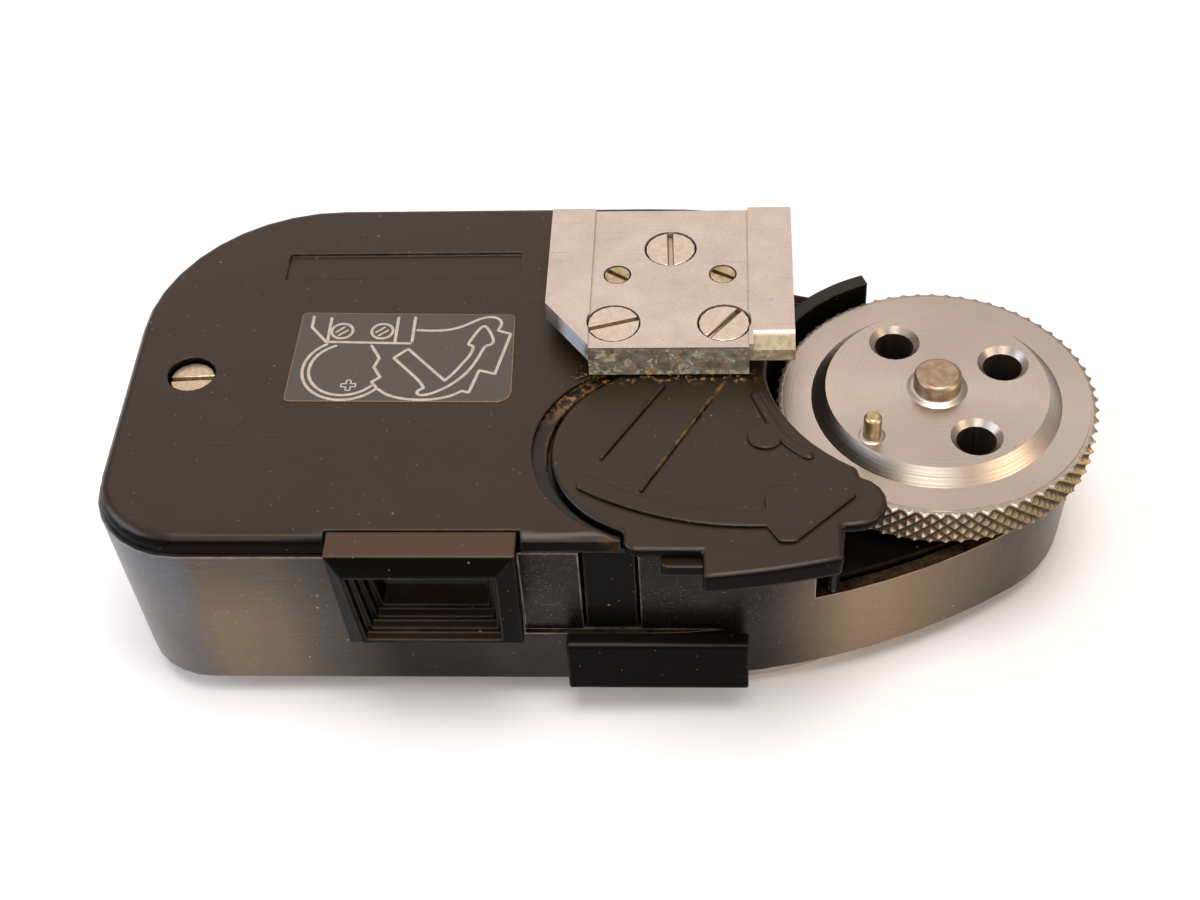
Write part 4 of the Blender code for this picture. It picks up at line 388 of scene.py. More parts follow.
def milled_aluminium(name, colours):
    """Satin aluminium: fine grain, thin scratches, stained rails, golden dirt in its seams, salt and rust.

    The front-left chamfer has a painted bluish highlight.
    """
    material, shader, where = start_material(name, colours.aluminium, 0.36, 1.0)
    x, y, z = measured(where)
    grain = blotches(where, 0.12, 0.30, 0.72, 3.0)
    marks = either(scratches(where, 8, 9.0, 0.09, 0.66, 0.78), scratches(where, 70, 6.0, 0.08, 0.68, 0.80))
    patches = blotches(where, 3.5, 0.3, 0.75)
    stain = times(ramp(x, 5.7, 6.2), ramp(z, -0.02, -0.2),
                  ramp(blotches(where, 0.9, 0.30, 0.60), 0.0, 1.0, 0.75, 1.0))
    wall = rest_of(facing_up(where, 0.2, 0.6))
    # A bluish highlight painted on the walls of the front-left chamfer.
    painted_blue_chamfer_highlight = times(wall, ramp(x, -5.9, -6.2), ramp(y, -4.5, -5.5))
    seam = times(cavity(where, 0.7), blotches(where, 0.5, 0.3, 0.55))
    front = times(wall, ramp(y, -7.0, -7.5), ramp(z, -0.3, -0.6))
    patch = either(ramp(z, -2.2, -2.7), blotches(where, 1.3, 0.50, 0.58))
    salt = times(front, patch, blotches(where, 0.35, 0.44, 0.56))
    rust = times(front, blotches(where, 0.9, 0.50, 0.60), blotches(where, 0.25, 0.48, 0.58))
    colour = over(
        colours.aluminium,
        ("#a9a199", times(patches, 0.45)),
        ("#8c857e", times(grain, 0.30)),
        ("#77706a", times(marks, 0.45)),
        (over("#a89880", ("#8d8a62", blotches(where, 0.4, 0.45, 0.60))), stain),
        ("#c0c8d8", times(painted_blue_chamfer_highlight, 0.9)),
        (colours.grime, times(seam, 0.9)),
        ("#5f5444", times(front, blotches(where, 0.7, 0.3, 0.6), 0.7)),
        ("#b3b79c", times(salt, 0.85)),
        ("#a5813f", times(rust, 0.8)),
        ("#77705f", times(specks(where, 0.8, 0.12, 0.10), 0.6)),
    )
    matt = either(seam, stain, times(painted_blue_chamfer_highlight, 0.6), salt, rust, times(front, 0.3))
    fill(shader, {
        "Base Color": colour,
        "Metallic": rest_of(matt),
        "Roughness": maths("ADD", ramp(grain, 0.0, 1.0, 0.32, 0.42), times(matt, 0.35), clamp=True),
    })
    bump(shader, either(times(grain, 0.5), marks), 0.16, 0.02)
    return material


def turned_aluminium(name, colours, centre, rim=None):
    """Turned satin aluminium: fine rings round its axis, radial sheen, grime in the knurl's valleys."""
    material, shader, where = start_material(name, colours.turned, 0.34, 1.0)
    flat, far = around(where, centre)
    settings = {"noise_dimensions": "1D", "Scale": per_mm(0.11), "Detail": 3.0}
    rings = ramp(noise(far, settings, "W"), 0.3, 0.72)
    colour = over(colours.turned, ("#b5aea7", times(blotches(where, 5.0, 0.3, 0.75), 0.5)),
                  ("#8d8781", times(rings, 0.22)))
    seam = times(cavity(where, 0.8), blotches(where, 0.6, 0.28, 0.5))
    matt = times(seam, 0.8)
    if rim is not None:
        x, _, z = measured(where)
        valley = times(ramp(far, (rim - 0.10) * MM, (rim - 0.32) * MM),
                       ramp(far, (rim - 0.72) * MM, (rim - 0.50) * MM))
        low = ramp(z, -7.55, -7.85)
        packed = times(valley, low, ramp(blotches(where, 1.0, 0.25, 0.6), 0.0, 1.0, 0.7, 1.0))
        matt = either(matt, times(packed, 0.9))
        tint = times(low, ramp(far, (rim - 0.9) * MM, (rim - 0.7) * MM), ramp(x, 16.0, 30.0, 0.35, 0.85))
        colour = over(colour, ("#a38c5c", tint), ("#2f2415", packed))
    colour = over(colour, (colours.grime, times(seam, 0.8)),
                  ("#7d7465", times(specks(where, 1.1, 0.2, 0.08), 0.6)))
    fill(shader, {
        "Anisotropic": 0.5,
        "Base Color": colour,
        "Metallic": rest_of(matt),
        "Roughness": maths("ADD", ramp(rings, 0.0, 1.0, 0.28, 0.42), times(matt, 0.4), clamp=True),
        "Tangent": vectors("CROSS_PRODUCT", flat, (0.0, 0.0, 1.0)),
    })
    bump(shader, rings, 0.15, 0.015)
    return material


def aged_metal(name, code, stain, colours, roughness=0.36, size=0.5):
    """A small turned metal part, stained by handling, with dirt in its slots."""
    material, shader, where = start_material(name, code, roughness, 1.0)
    patches = blotches(where, size, 0.35, 0.68)
    fill(shader, {
        "Base Color": over(code, (stain, times(patches, 0.7)),
                           (colours.grime, times(cavity(where, 0.5, 0.3, 0.75), 0.8))),
        "Roughness": ramp(patches, 0.0, 1.0, roughness - 0.06, roughness + 0.14),
    })
    bump(shader, patches, 0.15, 0.03)
    return material


def plain_finish(name, code, roughness, metallic, size, shade):
    """One colour with fine patches of a shade, for inner parts and the label's lines."""
    material, shader, where = start_material(name, code, roughness, metallic)
    fill(shader, {"Base Color": over(code, (shade, times(blotches(where, size, 0.35, 0.65), 0.6)))})
    return material


def window_glass(name, code):
    """Old window glass, faintly green and slightly dusty."""
    material, shader, where = start_material(name, code, 0.06, 0.0, 1.52)
    haze = ramp(blotches(where, 1.5, 0.3, 0.8), 0.0, 1.0, 0.05, 0.22)
    fill(shader, {"Transmission Weight": 0.85, "Roughness": haze})
    return material


def printed_foil():
    """The label's dark foil with dots and scratches, and a bare edge."""
    material, shader, where = start_material("printed_foil", "#47433f", 0.34, 0.2)
    dots = either(specks(where, 0.5, 0.2, 0.12), scratches(where, 10, 5.0, 0.1, 0.72, 0.8))
    fill(shader, {"Base Color": over("#47433f", ("#a08a66", times(dots, 0.5)),
                                     ("#c9a56c", times(worn_edge(where, 0.12), 0.8)))})
    return material


# Meshes


def placed(name, mesh, material, body):
    """A mesh in the scene as a piece of one material that rides a body."""
    mesh.materials.clear()
    mesh.materials.append(material)
    piece = bpy.data.objects.new(name, mesh)
    bpy.context.collection.objects.link(piece)
    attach(piece, body)
    return piece


def make_piece(name, shapes, material, body, smooth_angle=35):
    """A finished piece at the origin from shapes, each an array of points, in millimetres, and its faces."""
    points, faces, count = [], [], 0
    for new_points, new_faces in shapes:
        points.append(new_points)
        faces += [[corner + count for corner in face] for face in new_faces]
        count += len(new_points)
    mesh = bpy.data.meshes.new(name)
    mesh.from_pydata(((np.concatenate(points) + HOME_MM) * MM).tolist(), [], faces)
    mesh.validate()
    mesh.update()
    mesh.shade_smooth()
    mesh.set_sharp_from_angle(angle=radians(smooth_angle))
    return placed(name, mesh, material, body)


def wrapped_grid(rows, columns):
    """Four-cornered faces of a grid that closes on itself both ways."""
    row, column = np.meshgrid(np.arange(rows), np.arange(columns), indexing="ij")
    here, below, after = row * columns, (row + 1) % rows * columns, (column + 1) % columns
    corners = (here + column, here + after, below + after, below + column)
    return np.stack(corners, axis=-1).reshape(-1, 4).tolist()


def tube_faces(rows, columns):
    """Faces of a tube that closes round but not along, with a point at each end."""
    sides = wrapped_grid(rows, columns)[:(rows - 1) * columns]
    ring = np.arange(columns)
    turn = (ring + 1) % columns
    end, first = (rows - 1) * columns, rows * columns
    caps = [(np.full(columns, first), turn, ring), (np.full(columns, first + 1), end + ring, end + turn)]
    return sides + np.concatenate([np.stack(cap, axis=-1) for cap in caps]).tolist()


def bead(path, width, height, level, closed=False, sides=8):
    """A raised line: an ellipse, width across and twice height tall, carried along a plan path.

    At each point the ellipse stands square to the path. On an open path it shrinks to a point
    over the last half width, as the root of one minus the squared share of that length.
    """
    path = np.asarray(path, float)
    if closed:
        step = np.roll(path, -1, axis=0) - np.roll(path, 1, axis=0)
    else:
        step = np.gradient(path, axis=0)
    step /= np.linalg.norm(step, axis=1)[:, None]
    side = np.stack((-step[:, 1], step[:, 0]), axis=1)
    turn = np.linspace(0, 2 * pi, sides, endpoint=False)
    share = np.ones(len(path))
    if not closed:
        run = np.concatenate(([0], np.cumsum(np.linalg.norm(np.diff(path, axis=0), axis=1))))
        near = np.minimum(run, run[-1] - run) / (width / 2)
        share = np.sqrt(np.clip(1 - (1 - np.clip(near, 0.02, 1)) ** 2, 0, 1))
    reach = (width / 2) * share[:, None] * np.cos(turn)[None]
    lift = height * share[:, None] * np.sin(turn)[None]
    x = path[:, :1] + side[:, :1] * reach
    y = path[:, 1:] + side[:, 1:] * reach
    points = np.stack((x, y, level + lift), axis=-1).reshape(-1, 3)
    if closed:
        return points, wrapped_grid(len(path), sides)
    ends = np.array([[*path[0], level], [*path[-1], level]])
    return np.concatenate((points, ends)), tube_faces(len(path), sides)


def curve(points, spacing=0.12):
    """Extra points along straight runs between corners, no farther apart than a spacing."""
    points = np.asarray(points, float)
    runs = []
    for start, end in zip(points, points[1:]):
        if np.allclose(start, end):
            continue
        count = max(2, int(np.hypot(*(end - start)) / spacing) + 1)
        runs.append(start + (end - start) * np.linspace(0, 1, count, endpoint=False)[:, None])
    return np.concatenate(runs + [points[-1:]])


def rounded(points, rounds=2):
    """A path whose corners are cut twice at a quarter of each run; a corner named twice stays sharp."""
    points = np.asarray(points, float)
    for _ in range(rounds):
        first, second = points[:-1], points[1:]
        inner = np.stack((0.75 * first + 0.25 * second, 0.25 * first + 0.75 * second), axis=1)
        points = np.concatenate((points[:1], inner.reshape(-1, 2), points[-1:]))
    return curve(points)


def arc(centre, radius, start, end, spacing=0.12):
    """Points on an arc in plan between two bearings in degrees."""
    count = max(3, int(abs(radians(end - start)) * radius / spacing) + 1)
    bearing = np.radians(np.linspace(start, end, count))
    return np.stack((centre[0] + radius * np.cos(bearing), centre[1] + radius * np.sin(bearing)), axis=1)


def arced(corners, radii=None):
    """A closed outline in plan whose corners are arcs that touch both runs, each of its own radius.

    An arc's middle lies on the line that halves the corner, at the radius over the sine of half the
    corner, and the arc leaves the runs at the radius over the tangent of that half.
    """
    corners = np.asarray(corners, float)
    if radii is None:
        return corners
    outline = []
    for index, (corner, radius) in enumerate(zip(corners, radii)):
        if radius == 0:
            outline.append(corner[None])
            continue
        before = corners[index - 1] - corner
        after = corners[(index + 1) % len(corners)] - corner
        before, after = before / np.hypot(*before), after / np.hypot(*after)
        half = np.arccos(before @ after) / 2
        halving = (before + after) / np.hypot(*(before + after))
        middle = corner + halving * radius / np.sin(half)
        share = np.linspace(0, 1, 8)[:, None]
        swing = corner + (before * (1 - share) + after * share) * radius / np.tan(half) - middle
        outline.append(middle + radius * swing / np.linalg.norm(swing, axis=1)[:, None])
    return np.concatenate(outline)


def block(outline, low, high):
    """A plate with upright sides: an outline in plan carried from one height to another."""
    count = len(outline)
    points = np.concatenate([np.column_stack((outline, np.full(count, level))) for level in (low, high)])
    place = np.arange(count)
    after = (place + 1) % count
    sides = np.stack((place, after, after + count, place + count), axis=-1).tolist()
    return points, sides + [list(range(count))[::-1], list(range(count, 2 * count))]


def turned_ring(centre, profile, steps=96):
    """A closed ring: a profile of radii and heights carried round an upright axis."""
    turn = np.linspace(0, 2 * pi, steps, endpoint=False)
    radius, height = (np.asarray(profile, float)[:, index, None] for index in (0, 1))
    grid = np.stack((centre[0] + radius * np.cos(turn), centre[1] + radius * np.sin(turn),
                     height + 0 * turn), axis=-1)
    return grid.reshape(-1, 3), wrapped_grid(len(profile), steps)


def merged_mesh(node):
    """A merged copy of a CAD node's mesh, with flat faces joined."""
    body = bmesh.new()
    body.from_mesh(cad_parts[node].data)
    bmesh.ops.remove_doubles(body, verts=body.verts, dist=0.002 * MM)
    bmesh.ops.dissolve_limit(body, angle_limit=radians(ALMOST_FLAT), verts=body.verts, edges=body.edges)
    return body


def round_edges(piece, width, segments, clamp=True, flat=False):
    """Round a piece's hard edges to a width, or less where the clamp cuts it, and keep its faces even."""
    rounding = piece.modifiers.new("rounded_edges", "BEVEL")
    rounding.width = width
    rounding.segments = segments
    rounding.limit_method = "ANGLE"
    rounding.angle_limit = radians(HARD_EDGE)
    rounding.use_clamp_overlap = clamp
    if flat:
        return
    flatness = piece.modifiers.new("flat_faces", "WEIGHTED_NORMAL")
    flatness.weight = 100
    flatness.keep_sharp = True


def softened(node, name, width, material, body, segments=2, change=None, clamp=True, flat=False):
    """A copy of a CAD node whose hard edges are rounded, standing in for the node."""
    form = merged_mesh(node)
    if change is not None:
        change(form)
    mesh = bpy.data.meshes.new(name)
    form.to_mesh(mesh)
    form.free()
    if flat:
        mesh.shade_flat()
    else:
        mesh.shade_smooth()
        mesh.set_sharp_from_angle(angle=radians(HARD_EDGE))
    piece = placed(name, mesh, material, body)
    round_edges(piece, width, segments, clamp, flat)
    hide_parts(node)


def dress(node, material):
    """Give a CAD node its finish."""
    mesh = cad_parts[node].data
    mesh.materials.clear()
    mesh.materials.append(material)
    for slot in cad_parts[node].material_slots:
        slot.material = material


def ask(context):
    """The sizes and colours that the panel holds."""
    return context.scene.meter_sizes, context.scene.meter_colours


# Operators, one for each piece or group of like pieces


class MouldedParts(bpy.types.Operator):
    """Round the black mouldings and give them their dusty phenolic finish"""
    bl_idname = "meter.moulded_parts"
    bl_label = "Moulded parts"

    def execute(self, context):
        sizes, colours = ask(context)
        plate = moulded_black("phenolic_base", colours, base=True)
        # The hood's tops get more, and lighter, brown dust and painted sheen.
        trim = moulded_black("phenolic_trim", colours, dusty=0.7, gloss=0.35, dust_and_sheen_share=2.2, dust_and_sheen_code="#402f20")
        grip = moulded_black("phenolic_grip", colours, dusty=0.7, gloss=0.2, dust_and_sheen_share=0.8)
        # The well floor under the wheel is a darker copy, with little brown dust and painted sheen, standing
        # for its shade.
        floor = moulded_black("phenolic_floor", colours, dusty=0.5, gloss=0.06, dust_and_sheen_share=0.15)
        for node, name, finish, body, segments in (
                ("base_plate", "moulded_base", plate, "body", 3),
                ("wheel_well_plate", "well_floor", floor, "body", 2),
                ("cell_hood", "hood", trim, "body", 2),
                ("measuring_slide", "finger_slide", grip, "slide", 2),
                ("range_switch", "switch_button", grip, "switch", 2)):
            softened(node, name, sizes.moulded_edge, finish, body, segments)
        return {"FINISHED"}


def plain_cover(body):
    """Take the relief and the thumb step off the cover's copy, and bring its lip out to the tab.

    The relief and the step are pieces of their own. The lip, at the underside's level, then ends at the
    rim's corners and at the tab's sides, so that no sliver is left between them for the rounding to follow.
    """
    top, underside = (HOME.z + level * MM for level in (PLATE_TOP, COVER_UNDERSIDE))
    step_low, step_high = at_home(-0.4, -25.95, -6.0), at_home(3.3, -24.55, -3.75)
    step_back, lip_back = (at_home(0, y, 0).y for y in (-25.104, -25.2))
    tab_sides = [at_home(x, 0, 0).x for x in (2.6, 12.2)]
    same_level, same_corner, same_side, joined = (size * MM for size in (0.02, 0.3, 0.5, 0.005))
    raised = [vertex for vertex in body.verts if vertex.co.z > top + same_level]
    bmesh.ops.delete(body, geom=raised, context="VERTS")
    bmesh.ops.holes_fill(body, edges=[edge for edge in body.edges if edge.is_boundary])
    rim = [vertex.co for vertex in body.verts if abs(vertex.co.z - top) < same_level]
    for place in (vertex.co for vertex in body.verts):
        if all(low < value < high for low, value, high in zip(step_low, place, step_high)):
            place.z = underside
            place.y = max(place.y, step_back)
        elif place.z < underside + same_level and place.y < lip_back:
            near = min(rim, key=lambda corner: (corner.xy - place.xy).length)
            if (near.xy - place.xy).length < same_corner:
                place.xy = near.xy
            for side in tab_sides:
                if abs(place.x - side) < same_side:
                    place.x = side
    bmesh.ops.remove_doubles(body, verts=body.verts, dist=joined)
    bmesh.ops.dissolve_degenerate(body, edges=body.edges, dist=joined)
    bmesh.ops.dissolve_limit(body, angle_limit=radians(ALMOST_FLAT), verts=body.verts, edges=body.edges)


def arrow_corners():
    """The raised arrow in plan, with the rounding of each corner: a curved band and a three-cornered head."""
    band = (6.0, -0.704)
    outer = arc(band, 22.4, -122.7, -87.44, 1.2)
    inner = arc(band, 21.0, -87.44, -122.7, 1.2)
    tail = [arc(band, radius, -124.2, -124.2)[0] for radius in (21.0, 22.4)]
    head = [(7.84, -24.504), (8.89, -24.504), (13.3, -20.104), (12.83, -19.194), (7.28, -19.194),
            (6.86, -20.384)]
    corners = np.concatenate((outer, head, inner, tail))
    radii = ([0.0] * (len(outer) - 1) + [0.25] + [0.4, 0.4, 0.3, 0.35, 0.8, 0.0]
             + [0.3] + [0.0] * (len(inner) - 1) + [0.5, 0.5])
    return corners, radii


class BatteryCover(bpy.types.Operator):
    """Round the battery cover and lay its arrow, thumb step and raised lines on it"""
    bl_idname = "meter.battery_cover"
    bl_label = "Battery cover"

    def execute(self, context):
        sizes, colours = ask(context)
        finish = moulded_black("phenolic_cover", colours, dusty=0.8, line=LONG_BAR)
        softened("battery_cover", "swing_cover", sizes.cover_edge, finish, "cover", 4,
                 plain_cover, clamp=False)
        sunk = PLATE_TOP - 0.1
        boss = arc((7.0, -14.25), 1.3, 0, 352, 0.16)
        step = [(-0.3, -25.9), (3.1, -25.9), (3.1, -24.7), (-0.3, -24.7)]
        raised = make_piece("cover_arrow", [
            block(arced(*arrow_corners()), sunk, PLATE_TOP + 0.25),
            block(boss, sunk, PLATE_TOP + 0.2),
            block(arced(step, (0.5, 0.1, 0.1, 0.1)), -5.0, COVER_UNDERSIDE),
        ], finish, "cover")
        round_edges(raised, sizes.moulded_edge * 1.1, 3)
        high, level = sizes.relief_height / MM, PLATE_TOP + 0.02
        short_bar = [(-0.28, -8.82), (-4.78, -16.51)]
        ridge = [(6.3, -9.6), (7.25, -12.1), (7.9, -13.8), (8.9, -15.2), (10.4, -16.4)]
        make_piece("cover_relief", [
            bead(curve(short_bar), 0.35, high, level),
            bead(curve(LONG_BAR), 0.35, high, level),
            bead(rounded(ridge), 0.9, high, level, sides=12),
        ], finish, "cover", 60)
        return {"FINISHED"}


class Housing(bpy.types.Operator):
    """Round the metal housing and give it worn black chrome"""
    bl_idname = "meter.housing"
    bl_label = "Housing"

    def execute(self, context):
        sizes, colours = ask(context)
        softened("housing", "metal_shell", sizes.metal_edge, black_chrome(colours), "body")
        return {"FINISHED"}


class Foot(bpy.types.Operator):
    """Finish the accessory foot and its screws"""
    bl_idname = "meter.foot"
    bl_label = "Foot and screws"

    def execute(self, context):
        sizes, colours = ask(context)
        foot = milled_aluminium("milled_aluminium_foot", colours)
        softened("shoe_foot", "foot_body", sizes.metal_edge, foot, "body", flat=True)
        steel = aged_metal("plated_screw", "#dcd3cb", "#c6b79f", colours, 0.34, 0.5)
        brass = aged_metal("brass_screw", colours.brass, "#8d7446", colours)
        silvery = aged_metal("tinned_brass_screw", "#d9cdb8", "#b09c76", colours, 0.36, 0.4)
        for finish, record_slot, nodes in (
                (steel, "satin_aluminium", ("foot_screw_rear", "foot_screw_left", "foot_screw_pivot")),
                (brass, "brass", ("small_screw_left", "small_screw_right")),
                (silvery, "brass", ("base_plate_screw",))):
            for node in nodes:
                softened(node, node + "_head", sizes.metal_edge * 0.6, finish, "body")
        return {"FINISHED"}


def pull_in(body):
    """Make the wheel's rim a plain one that the knurled band covers, and widen the boss's bevel."""
    centre = at_home(*WHEEL_CENTRE, 0)
    # The radii and the heights between which a point lies, and the radius that it moves to: the rim,
    # the lower edge of the boss's bevel and its upper edge.
    moves = ((11.62, 13.0, -20.0, -7.6, 11.6), (9.1, 9.6, -7.7, 0.0, 9.42), (8.4, 8.6, -6.5, 0.0, 8.38))
    for vertex in body.verts:
        flat = vertex.co.xy - centre.xy
        far, level = flat.length / MM, (vertex.co.z - HOME.z) / MM
        for inner, outer, low, high, reach in moves:
            if inner < far < outer and low < level < high:
                vertex.co.xy = centre.xy + flat * (reach / far)


def knurled_band(depth, diamonds=66, rows=2.6, around_steps=1320, up_steps=42):
    """The wheel's knurled rim as a closed ring.

    On the outside, the radius is the rim's less a groove. Two families of grooves cross: each is
    a three-cornered wave of the share turned plus or minus the share climbed, and the deeper of
    the two counts, which leaves four-sided points. Both ends fade into plain bevels.
    """
    low, high, rim = -10.45, -7.62, 12.18
    crest_share, flank_share, bevel_share, bevel_depth = 0.16, 0.80, 0.03, 0.30
    turn = np.linspace(0, 2 * pi, around_steps, endpoint=False)
    angle, share = np.meshgrid(turn, np.linspace(0, 1, up_steps), indexing="xy")
    first = (angle / (2 * pi) * diamonds + share * rows) % 1
    second = (angle / (2 * pi) * diamonds - share * rows) % 1
    groove = np.maximum(np.abs(first - 0.5), np.abs(second - 0.5)) * 2
    groove = np.clip((groove - crest_share) / flank_share, 0, 1)
    ends = np.clip(np.minimum(share, 1 - share) / bevel_share, 0, 1)
    radius = rim - depth / MM * groove * ends - bevel_depth * (1 - ends)
    rings = [np.stack((radius * np.cos(angle), radius * np.sin(angle), low + (high - low) * share), axis=-1)]
    for reach, level in ((11.55, high + 0.04), (11.2, high - 0.1), (11.2, low + 0.1), (11.55, low - 0.04)):
        ring = np.stack((reach * np.cos(turn), reach * np.sin(turn), np.full_like(turn, level)), axis=-1)
        rings.append(ring[None])
    grid = np.concatenate(rings)
    return grid.reshape(-1, 3) + np.array([*WHEEL_CENTRE, 0]), wrapped_grid(len(grid), around_steps)


class Wheel(bpy.types.Operator):
    """Finish the coupling wheel, its knurl, collars, shaft and pin"""
    bl_idname = "meter.wheel"
    bl_label = "Coupling wheel"

    def execute(self, context):
        sizes, colours = ask(context)
        satin = turned_aluminium("turned_aluminium_wheel", colours, WHEEL_CENTRE, rim=12.16)
        softened("coupling_wheel", "wheel_face", sizes.metal_edge * 0.8, satin, "wheel",
                 2, pull_in)
        make_piece("knurled_rim", [knurled_band(sizes.knurl_depth)], satin, "wheel", 50)
        shaft_collar = [(1.74, -6.8), (2.30, -6.5), (2.30, -6.40), (2.18, -6.34), (2.04, -6.25),
                        (1.92, -6.18), (1.78, -6.16)]
        pin_collar = [(0.62, -6.8), (1.00, -6.5), (1.00, -6.40), (0.92, -6.36), (0.80, -6.33), (0.66, -6.32)]
        collars = [turned_ring(WHEEL_CENTRE, shaft_collar), turned_ring(PIN_CENTRE, pin_collar, 48)]
        make_piece("pressed_collars", collars, satin, "wheel", 50)
        shaft = aged_metal("rusted_shaft", "#b3a797", "#9a6c3c", colours, 0.40, 0.6)
        softened("wheel_shaft", "shaft_end", sizes.metal_edge, shaft, "wheel")
        pin = aged_metal("pin_brass", "#cdbd98", "#96794a", colours, 0.34, 0.7)
        softened("coupling_pin", "drive_pin", sizes.metal_edge * 0.6, pin, "wheel")
        return {"FINISHED"}


class Dial(bpy.types.Operator):
    """Finish the calculator dial and the film speed disc"""
    bl_idname = "meter.dial"
    bl_label = "Calculator dial"

    def execute(self, context):
        sizes, colours = ask(context)
        satin = turned_aluminium("turned_aluminium_dial", colours, DIAL_CENTRE)
        softened("calculator_dial", "dial_ring", sizes.metal_edge, satin, "dial")
        disc = moulded_black("phenolic_disc", colours, dusty=0.4)
        softened("film_speed_disc", "speed_disc", sizes.metal_edge * 0.6, disc, "film_disc")
        return {"FINISHED"}


class Label(bpy.types.Operator):
    """Lay the label with its line drawing of the opened battery compartment"""
    bl_idname = "meter.label"
    bl_label = "Label"

    def execute(self, context):
        sizes, colours = ask(context)
        corners = [(-28.6, -10.4), (-11.6, -10.6), (-11.9, -1.0), (-28.4, -0.6)]
        top = PLATE_TOP + 0.07
        foil = block(arced(corners, (0.45, 1.1, 0.45, 0.35)), PLATE_TOP - 0.02, top)
        sheet = make_piece("label_foil", [foil], printed_foil(), "body")
        round_edges(sheet, 0.02 * MM, 1)
        ink = plain_finish("printed_line", colours.print_line, 0.55, 0.0, 0.6, "#8f897f")
        high = sizes.print_height / MM
        lines = [bead(path, width, high, top, closed) for path, closed, width in label_drawing()]
        make_piece("label_lines", lines, ink, "body", 60)
        return {"FINISHED"}


def label_drawing():
    """The label's lines: the foot with two screws, a cell, and the open cover with its arrow."""
    def line(points, width=0.24):
        return curve(points), False, width

    lines = [line([(-27.5, -0.95), (-27.5, -2.3), (-26.2, -3.95), (-19.6, -4.2)])]
    for x in (-26.1, -20.9, -19.6):
        lines.append(line([(x, -1.15), (x, -4.1)]))
    for x, y in ((-25.1, -2.75), (-22.0, -2.8)):
        lines.append((arc((x, y), 0.82, 0, 345), True, 0.22))
        lines.append(line([(x - 0.55, y - 0.2), (x + 0.2, y + 0.5)], 0.16))
        lines.append(line([(x - 0.3, y - 0.55), (x + 0.5, y + 0.15)], 0.16))
    lines.append((arc((-24.3, -7.0), 3.3, 121, 321), False, 0.24))
    lines.append((arc((-24.3, -7.0), 2.8, 110, 322), False, 0.24))
    lines.append(line([(-22.7, -4.3), (-21.9, -5.8), (-22.2, -6.8), (-21.6, -7.9), (-22.2, -8.4),
                       (-21.7, -9.1)]))
    arm, half = 0.55, 0.17
    plus = [(half, arm), (-half, arm), (-half, half), (-arm, half), (-arm, -half), (-half, -half),
            (-half, -arm), (half, -arm), (half, -half), (arm, -half), (arm, half), (half, half), (half, arm)]
    lines.append(line([(x - 23.9, y - 8.75) for x, y in plus], 0.12))
    cover = [(-19.4, -2.7), (-18.0, -2.8), (-16.8, -2.7), (-15.8, -2.3), (-14.8, -1.6), (-14.1, -1.25),
             (-13.3, -1.3), (-12.8, -1.9), (-13.1, -2.8), (-13.1, -2.8), (-12.1, -3.2), (-12.1, -3.2),
             (-13.0, -7.6), (-13.0, -7.6), (-14.2, -7.2), (-14.2, -7.2), (-14.8, -9.6), (-14.8, -9.6),
             (-15.3, -9.4), (-15.3, -9.4), (-16.1, -9.95), (-17.3, -10.3), (-18.6, -10.35),
             (-19.8, -10.2), (-20.9, -9.8), (-21.7, -9.1)]
    lines.append((rounded(cover), False, 0.24))
    arrow = [(-20.8, -5.8), (-20.8, -5.8), (-19.8, -4.8), (-19.8, -4.8), (-16.7, -8.3), (-16.7, -8.3),
             (-16.1, -7.5), (-15.5, -6.4), (-15.0, -5.5),
             (-14.8, -4.5), (-15.3, -4.4), (-15.1, -3.8), (-14.4, -2.3), (-14.0, -2.3), (-13.3, -3.9),
             (-13.5, -4.4), (-14.0, -4.5), (-14.4, -5.9), (-15.0, -7.3), (-16.0, -8.6), (-17.2, -9.5),
             (-18.2, -9.9), (-18.7, -9.7), (-18.6, -9.3), (-18.0, -9.0)]
    lines.append((rounded([*arrow, arrow[0]])[:-1], True, 0.24))
    return lines


class InnerWorks(bpy.types.Operator):
    """Finish the pieces inside the body"""
    bl_idname = "meter.inner_works"
    bl_label = "Inner works"

    def execute(self, context):
        _, colours = ask(context)
        finishes = (
            (plain_finish("rolled_brass", "#b59a63", 0.35, 1.0, 1.2, "#8f7445"),
             ("foot_backing_plate", "cover_pivot_bush", "shaft_bush", "wheel_gear", "dial_gear",
              "battery_contact", "upper_bridge", "lower_bridge")),
            (plain_finish("plated_steel", "#aaa69f", 0.34, 1.0, 1.5, "#8b867e"),
             ("battery_cell", "magnet_core", "magnet_yoke", "dial_shaft")),
            (plain_finish("enamelled_copper", "#8c4a24", 0.35, 0.8, 0.3, "#5c2c14"), ("moving_coil",)),
            (plain_finish("paper_laminate", "#6e4426", 0.6, 0.0, 0.8, "#553018"),
             ("photocell_holder", "terminal_board")),
            (plain_finish("fired_ceramic", "#8a4b33", 0.55, 0.0, 0.7, "#6a3423"),
             ("photocell", "resistor_1", "resistor_2", "resistor_3")),
            (plain_finish("matt_white_paint", "#d8d4ca", 0.6, 0.0, 2.0, "#c3bdaf"), ("scale_plate",)),
            (plain_finish("matt_black_paint", "#151312", 0.5, 0.0, 0.8, "#221e1b"), ("pointer",)),
            (window_glass("dusty_window_glass", "#aab4b0"), ("cell_window", "scale_window")),
        )
        for finish, nodes in finishes:
            for node in nodes:
                dress(node, finish)
        return {"FINISHED"}


